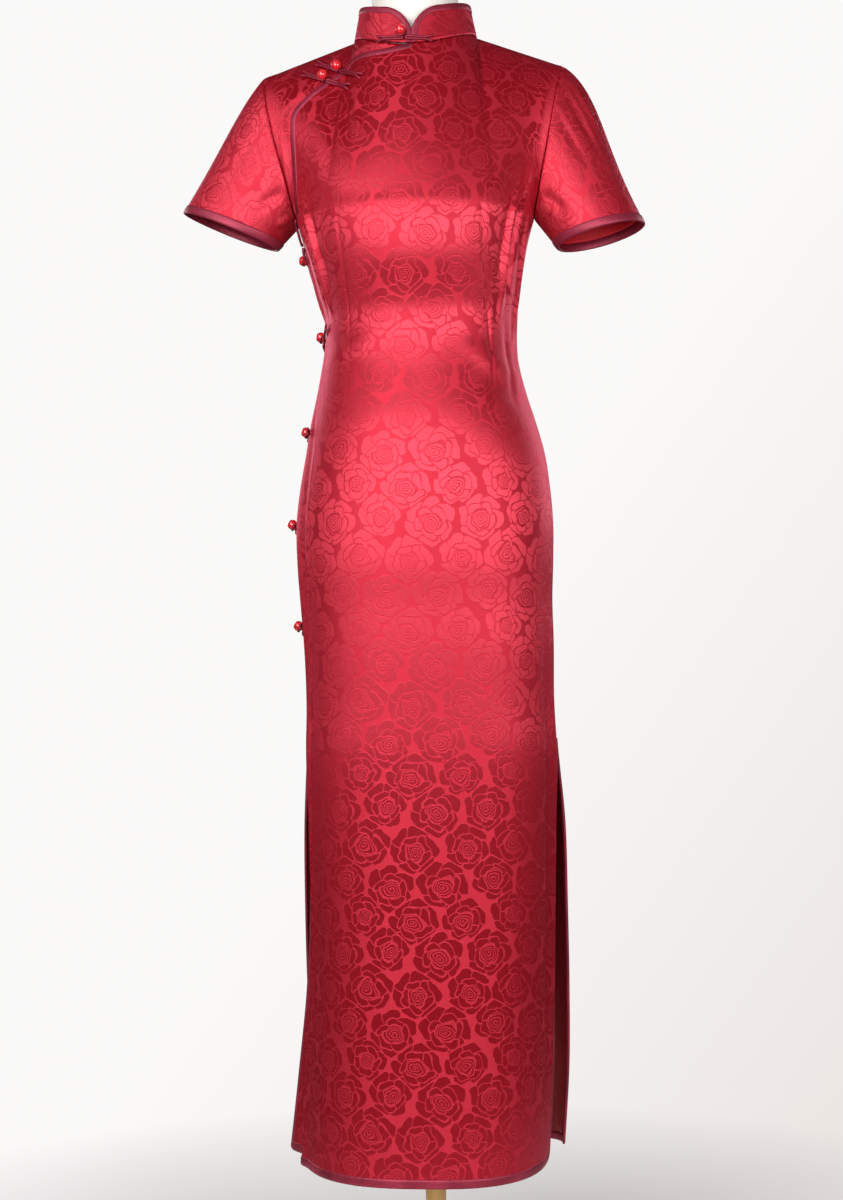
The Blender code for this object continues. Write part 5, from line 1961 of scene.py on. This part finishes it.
@dataclass
class DressForm:
    """The limbless form: a stuffed torso and neck, a pole and a round base."""

    shape: DressShape
    finishes: Finishes
    clear: float = 0.0110
    bottom: float = 0.815
    neck_width: float = 0.0505
    neck_depth: float = 0.0480
    neck_middle: float = 0.002
    top: float = 1.590
    pole_radius: float = 0.012
    base_radius: float = 0.170
    base_height: float = 0.014
    levels: tuple = (0.890, 0.960, 1.030, 1.080, 1.140, 1.190, 1.240, 1.280)
    chest_ups: tuple = (0.0, 0.15, 0.3, 0.45, 0.6, 0.72, 0.82, 0.90)
    side_place: float = 0.96
    sides: int = 44

    def torso_rings(self) -> np.ndarray:
        """Rings of the torso: the dress's own shape moved inwards."""
        plain = DressShape(folds=())
        places = np.linspace(-self.side_place, self.side_place, self.sides)
        heights = (self.bottom, self.bottom + 0.012, *self.levels)
        rows = {}
        for face in Face:
            low = [plain.level_row(face, height, places) for height in heights]
            armpit = plain.level_row(face, plain.armpit, places)
            high = [plain.chest_row(face, places, up, armpit) for up in self.chest_ups]
            rows[face] = np.array([*low, *high])
        points = np.concatenate([rows[Face.FRONT], rows[Face.BACK][:, ::-1]], axis=1)
        across = np.roll(points, -1, axis=1) - np.roll(points, 1, axis=1)
        normals = unit(np.cross(np.gradient(points, axis=0), across))
        outward = points - points.mean(axis=1, keepdims=True) + [0, 0, 0.02]
        normals *= np.sign((normals * outward).sum(axis=-1, keepdims=True))
        points = points - normals * self.clear
        centre = points[0].mean(axis=0)
        points[0] = centre + (points[1] - centre) * [0.9, 0.88, 0]
        return points

    def neck_ring(self, height: float, width: float, depth: float) -> np.ndarray:
        """An oval ring in step with the torso's."""
        turn = math.pi * np.linspace(-self.side_place, self.side_place, self.sides) / 2
        x, y = width * np.sin(turn), depth * np.cos(turn)
        front = np.column_stack([x, self.neck_middle - y, 0 * turn + height])
        back = np.column_stack([x, self.neck_middle + y, 0 * turn + height])
        return np.concatenate([front, back[::-1]])

    def build(self) -> list[bpy.types.Object]:
        """The torso, pole and base."""
        torso = self.torso_rings()
        side, top, width, depth = self.shape.neck_side, self.top, self.neck_width, self.neck_depth
        necks = [
            self.neck_ring(side - 0.020, width + 0.008, depth - 0.004),
            self.neck_ring(side + 0.008, width, depth),
            self.neck_ring((side + top) / 2, width - 0.0005, depth),
            self.neck_ring(top - 0.008, width, depth),
            self.neck_ring(top - 0.002, width - 0.002, depth - 0.002),
            self.neck_ring(top, width - 0.008, depth - 0.008),
        ]
        rings = np.concatenate([torso, necks])
        at = travelled(rings).mean(axis=1)
        fine = np.unique(np.concatenate([np.linspace(0, at[-1], 110), at]))
        flat_rings = rings.reshape(len(rings), -1)
        smooth = np.column_stack(
            [hermite(at, flat_rings[:, i], fine) for i in range(flat_rings.shape[1])]
        )
        points = smooth.reshape(len(fine), -1, 3)
        around = np.linspace(0, 0.9, points.shape[1] + 1)
        flat = np.dstack(np.meshgrid(around, fine))
        obj = sheet_mesh(
            "form_torso", points, flat, points - points.mean(axis=1, keepdims=True), wrap=True
        )
        close_ends(obj)
        obj.data.set_sharp_from_angle(angle=math.radians(50))
        made = [dress(obj, self.finishes.cover, "form_body")]
        pole = turned("form_stand_pole", self.pole_profile())
        made.append(dress(pole, self.finishes.metal, "form_pole"))
        base = turned("form_round_base", self.base_profile(), 120)
        made.append(dress(base, self.finishes.metal, "form_base"))
        return made

    def pole_profile(self) -> np.ndarray:
        """The pole from the torso down to its socket on the base."""
        r, foot, head = self.pole_radius, self.base_height, self.bottom
        rows = [(0.001, head), (r, head), (r, foot + 0.036), (r + 0.0025, foot + 0.0355)]
        rows += [
            (r + 0.009, foot + 0.032),
            (r + 0.0105, foot + 0.029),
            (r + 0.0135, foot + 0.003),
            (r + 0.014, foot),
        ]
        return np.array([*rows, (0.001, foot)])

    def base_profile(self) -> np.ndarray:
        """The base's slightly domed top, rolled rim and flat underside."""
        r, h = self.base_radius, self.base_height
        turns = np.linspace(0, math.pi / 2, 7)
        rim = [(r - 0.008 + 0.008 * math.sin(t), h - 0.008 + 0.008 * math.cos(t)) for t in turns]
        top = [(0.001, h), (r * 0.5, h), (r - 0.012, h)]
        return np.array([*top, *rim, (r, 0.001), (r - 0.001, 0.0), (0.001, 0.0)])


# --- stage ------------------------------------------------------------------------------------


@dataclass(frozen=True)
class SoftBox:
    """A softbox: its name, place, width, height, watts, colour and the height it is aimed at."""

    name: str
    x: float
    y: float
    z: float
    width: float
    height: float
    watts: float
    colour: Colour
    aim: float = 1.0


@dataclass
class Studio:
    """A plain pale floor and surroundings, soft lights and the camera."""

    distance: float = 2.400
    azimuth: float = 4.6
    height: float = 0.866
    aside: float = -0.0046
    roll: float = 1.02
    lens: float = 61.0
    floor_reach: float = 1.1
    surround: Colour = (0.96, 0.95, 0.945)
    warm: Colour = (0.80, 0.745, 0.715)
    ambient: float = 0.075
    boxes: tuple = (
        SoftBox("key", -0.72, -2.20, 1.34, 2.0, 1.20, 45.0, (1.0, 0.97, 0.99), 1.15),
        SoftBox("right", 1.50, -1.98, 1.20, 1.2, 0.95, 30.0, (1.0, 0.97, 0.99), 1.10),
        SoftBox("high", -1.2, -1.75, 2.70, 1.3, 0.7, 17.0, (1.0, 0.97, 0.99), 1.35),
        SoftBox("back_left", -1.9, 1.9, 1.7, 1.2, 1.4, 22.0, (1.0, 0.98, 0.97)),
        SoftBox("back_right", 1.9, 1.9, 1.7, 1.2, 1.4, 22.0, (1.0, 0.98, 0.97)),
    )

    def build(self) -> None:
        """Everything around the object."""
        self.build_floor()
        self.build_world()
        for box in self.boxes:
            self.build_light(box)
        self.build_camera()
        scene = bpy.context.scene
        scene.view_settings.view_transform = "Standard"
        scene.view_settings.look = "None"
        scene.view_settings.exposure = 0.0

    def build_floor(self) -> None:
        """A pale disc that fades into the surroundings."""
        turns = np.linspace(0, math.tau, 97)[:-1]
        rim = np.column_stack([np.cos(turns), np.sin(turns), 0 * turns]) * self.floor_reach
        mesh = bpy.data.meshes.new("floor")
        mesh.from_pydata((rim - [0, 0, 0.0005]).tolist(), [], [list(range(96))])
        obj = bpy.data.objects.new("floor", mesh)
        bpy.context.scene.collection.objects.link(obj)
        material, s, shader = shader_of("floor")
        shader.inputs["Base Color"].default_value = (*self.surround, 1.0)
        shader.inputs["Roughness"].default_value = 0.9
        where = s.place_on_piece()
        reach = s.math("MULTIPLY", s.vector("LENGTH", where, out=1), 1 / self.floor_reach)
        s.put(shader.inputs["Alpha"], s.line(reach, -1.6, 1.6, clamp=True))
        mesh.materials.append(material)

    def build_world(self) -> None:
        """Pale surroundings, warmer to the right, and dimmer as light than as seen."""
        world = bpy.data.worlds.new("surroundings")
        bpy.context.scene.world = world
        world.use_nodes = True
        s = Sketch(world.node_tree)
        background = world.node_tree.nodes["Background"]
        x, _, z = s.parts(s.tree.nodes.new("ShaderNodeTexCoord").outputs["Generated"])
        warm = s.line(x, 2.2, s.line(z, -1.6, 0.12), clamp=True)
        seen_colour = s.blend(warm, (*self.surround, 1.0), (*self.warm, 1.0), "RGBA")
        seen = s.tree.nodes.new("ShaderNodeLightPath").outputs["Is Camera Ray"]
        s.put(background.inputs["Color"], s.blend(seen, (*self.surround, 1.0), seen_colour, "RGBA"))
        s.put(background.inputs["Strength"], s.blend(seen, self.ambient, 1.0))

    def build_light(self, box: SoftBox) -> None:
        """One softbox, aimed at the dress."""
        data = bpy.data.lights.new(box.name, "AREA")
        data.shape = "RECTANGLE"
        data.size, data.size_y = box.width, box.height
        data.energy = box.watts
        data.color = box.colour
        obj = bpy.data.objects.new(box.name, data)
        obj.location = (box.x, box.y, box.z)
        aim = Vector((0, 0, box.aim)) - obj.location
        obj.rotation_euler = aim.to_track_quat("-Z", "Y").to_euler()
        obj.visible_camera = False
        bpy.context.scene.collection.objects.link(obj)

    def build_camera(self) -> None:
        """A level camera a little to one side, turned slightly about its own line of sight."""
        data = bpy.data.cameras.new("camera")
        data.sensor_width = 36.0
        data.sensor_fit = "AUTO"
        data.lens = self.lens
        data.clip_start = 0.05
        obj = bpy.data.objects.new("camera", data)
        turn = math.radians(self.azimuth)
        across = Vector((math.cos(turn), math.sin(turn), 0))
        place = Vector(
            (self.distance * math.sin(turn), -self.distance * math.cos(turn), self.height)
        )
        obj.location = place + across * self.aside
        level = Matrix.Rotation(turn, 3, "Z") @ Matrix.Rotation(math.pi / 2, 3, "X")
        obj.rotation_euler = (level @ Matrix.Rotation(math.radians(-self.roll), 3, "Z")).to_euler()
        bpy.context.scene.collection.objects.link(obj)
        bpy.context.scene.camera = obj


# --- creases ----------------------------------------------------------------------------------

FRONT_CREASES = (
    Crease(-0.80, 1.200, -0.66, 0.230, 0.0022, 0.0018),
    Crease(-0.84, 1.190, -0.71, 0.230, 0.0060, -0.0022),
    Crease(-0.93, 1.345, -0.74, 1.190, 0.0046, -0.0068, 0.004),
    Crease(-0.84, 1.365, -0.67, 1.180, 0.0042, 0.0046, 0.004),
    Crease(-0.76, 1.350, -0.61, 1.215, 0.0044, -0.0040, 0.003),
    Crease(-0.98, 1.300, -0.84, 1.170, 0.0044, 0.0046, 0.003),
    Crease(-0.66, 1.340, -0.62, 1.240, 0.0060, 0.0016),
    Crease(0.88, 1.370, 0.70, 1.195, 0.0046, -0.0066, -0.004),
    Crease(0.79, 1.375, 0.61, 1.170, 0.0042, 0.0044, -0.004),
    Crease(0.70, 1.345, 0.57, 1.225, 0.0046, -0.0034, -0.003),
    Crease(0.98, 1.320, 0.84, 1.160, 0.0044, -0.0052, -0.002),
    Crease(0.92, 1.340, 0.77, 1.140, 0.0038, 0.0046, -0.003),
    Crease(0.98, 1.230, 0.76, 1.110, 0.0050, 0.0026, 0.003),
    Crease(0.44, 1.352, 0.50, 1.080, 0.0019, -0.0017),
    Crease(-0.46, 1.340, -0.44, 1.120, 0.0019, -0.0011),
    Crease(0.70, 1.200, 0.66, 1.080, 0.0060, -0.0020),
    Crease(-0.56, 1.440, -0.49, 1.372, 0.0034, -0.0018),
    Crease(-0.48, 1.446, -0.42, 1.365, 0.0034, 0.0015),
    Crease(-0.41, 1.446, -0.35, 1.372, 0.0034, -0.0016),
    Crease(-0.33, 1.440, -0.28, 1.380, 0.0036, 0.0012),
    Crease(0.74, 0.900, 0.70, 0.215, 0.0070, -0.0040, 0.002),
    Crease(0.83, 0.860, 0.80, 0.215, 0.0055, 0.0036, 0.002),
    Crease(0.92, 0.780, 0.92, 0.215, 0.0060, -0.0030, 0.001),
    Crease(-0.90, 0.780, -0.84, 0.215, 0.0060, 0.0020, 0.001),
    Crease(0.26, 1.165, 0.92, 1.115, 0.0100, 0.0020, 0.006),
    Crease(0.35, 1.125, 0.95, 1.085, 0.0090, -0.0016, 0.005),
    Crease(-0.76, 1.140, -0.16, 1.168, 0.0110, 0.0014, -0.004),
)
# Seam and dart lines, by the same fields: only their places, levels and widths are used.
FRONT_BREAKS = (
    Crease(-0.80, 1.235, -0.66, 0.200, 0.0120, 0.0),
    Crease(0.44, 1.345, 0.50, 1.080, 0.0050, 0.0),
)
BACK_CREASES = (
    Crease(0.88, 1.350, 0.70, 1.215, 0.0060, -0.0032, -0.003),
    Crease(-0.88, 1.350, -0.72, 1.215, 0.0060, -0.0032, 0.003),
    Crease(0.45, 1.330, 0.42, 1.060, 0.0016, -0.0008),
    Crease(-0.45, 1.330, -0.42, 1.060, 0.0016, -0.0008),
    Crease(-0.60, 1.140, 0.05, 1.170, 0.0100, 0.0016, 0.004),
    Crease(0.05, 1.150, 0.62, 1.135, 0.0100, 0.0014, -0.004),
    Crease(-0.55, 1.190, 0.50, 1.200, 0.0130, -0.0014, 0.003),
    Crease(0.62, 0.900, 0.60, 0.215, 0.0110, -0.0026, 0.003),
    Crease(-0.64, 0.880, -0.62, 0.215, 0.0110, -0.0024, -0.003),
    Crease(0.10, 0.780, 0.06, 0.215, 0.0140, 0.0022, 0.004),
)
RIGHT_ARM = SleeveSizes(
    "right_arm", Side.LEFT, 0.2805, 1.3315, 0.1690, 1.2850, 0.100, 0.000, 0.004,
    (
        Crease(0.30, 0.98, 0.40, 0.30, 0.0060, -0.0020),
        Crease(0.14, 0.95, 0.22, 0.35, 0.0060, 0.0018),
    ),
)
LEFT_ARM = SleeveSizes(
    "left_arm", Side.RIGHT, 0.2655, 1.3015, 0.1630, 1.2765, 0.104, 0.006, 0.012,
    (
        Crease(0.72, 1.00, 0.74, 0.45, 0.0036, -0.0022),
        Crease(0.82, 1.00, 0.84, 0.50, 0.0036, 0.0020),
        Crease(0.60, 0.98, 0.62, 0.50, 0.0040, -0.0014),
        Crease(0.26, 0.95, 0.34, 0.25, 0.0070, -0.0024),
    ),
)


def main() -> None:
    """Builds the dress, its form and the stage."""
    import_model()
    shape = DressShape()
    finishes = Finishes.build()
    front_map = FaceMap(shape, Face.FRONT, FRONT_CREASES, FRONT_BREAKS)
    back_map = FaceMap(shape, Face.BACK, BACK_CREASES)
    sleeves = {sizes.name: SleeveMap(shape, sizes) for sizes in (RIGHT_ARM, LEFT_ARM)}
    cloth = DressCloth(shape, front_map, back_map, finishes)
    front, back, underlap = cloth.build_front(), cloth.build_back(), cloth.build_underlap()
    linings = [
        cloth.build_skirt_lining(front_map, "front"), cloth.build_skirt_lining(back_map, "back")
    ]
    bindings = Bindings(cloth)
    side_edge = bindings.side_and_opening()
    front_edge, back_edge = bindings.skirt(front_map, "front"), bindings.skirt(back_map, "back")
    neck = Collar(CollarMap(shape), finishes)
    collar, collar_edge = neck.build()
    bpy.context.view_layer.update()
    ground = [front, back, underlap, side_edge, collar, collar_edge]
    Frogs(finishes, ground).build()
    declare(front, cloth.front.cut, "form_torso", side_edge, front_edge)
    declare(back, cloth.back.cut, "form_torso", back_edge)
    declare(underlap, cloth.underlap_cut, "form_torso")
    for lining, panel in zip(linings, (front, back)):
        declare(lining, cloth.skirt_lining_cut, panel.name)
    for sleeve in sleeves.values():
        body, lining, edge = cloth.build_sleeve(sleeve)
        declare(body, cloth.sleeve_cut, front.name, edge)
        declare(lining, cloth.cuff_lining_cut, body.name)
    declare(collar, neck.cut, front.name, collar_edge)
    DressForm(shape, finishes).build()
    Studio().build()


if __name__ == "__main__":
    main()
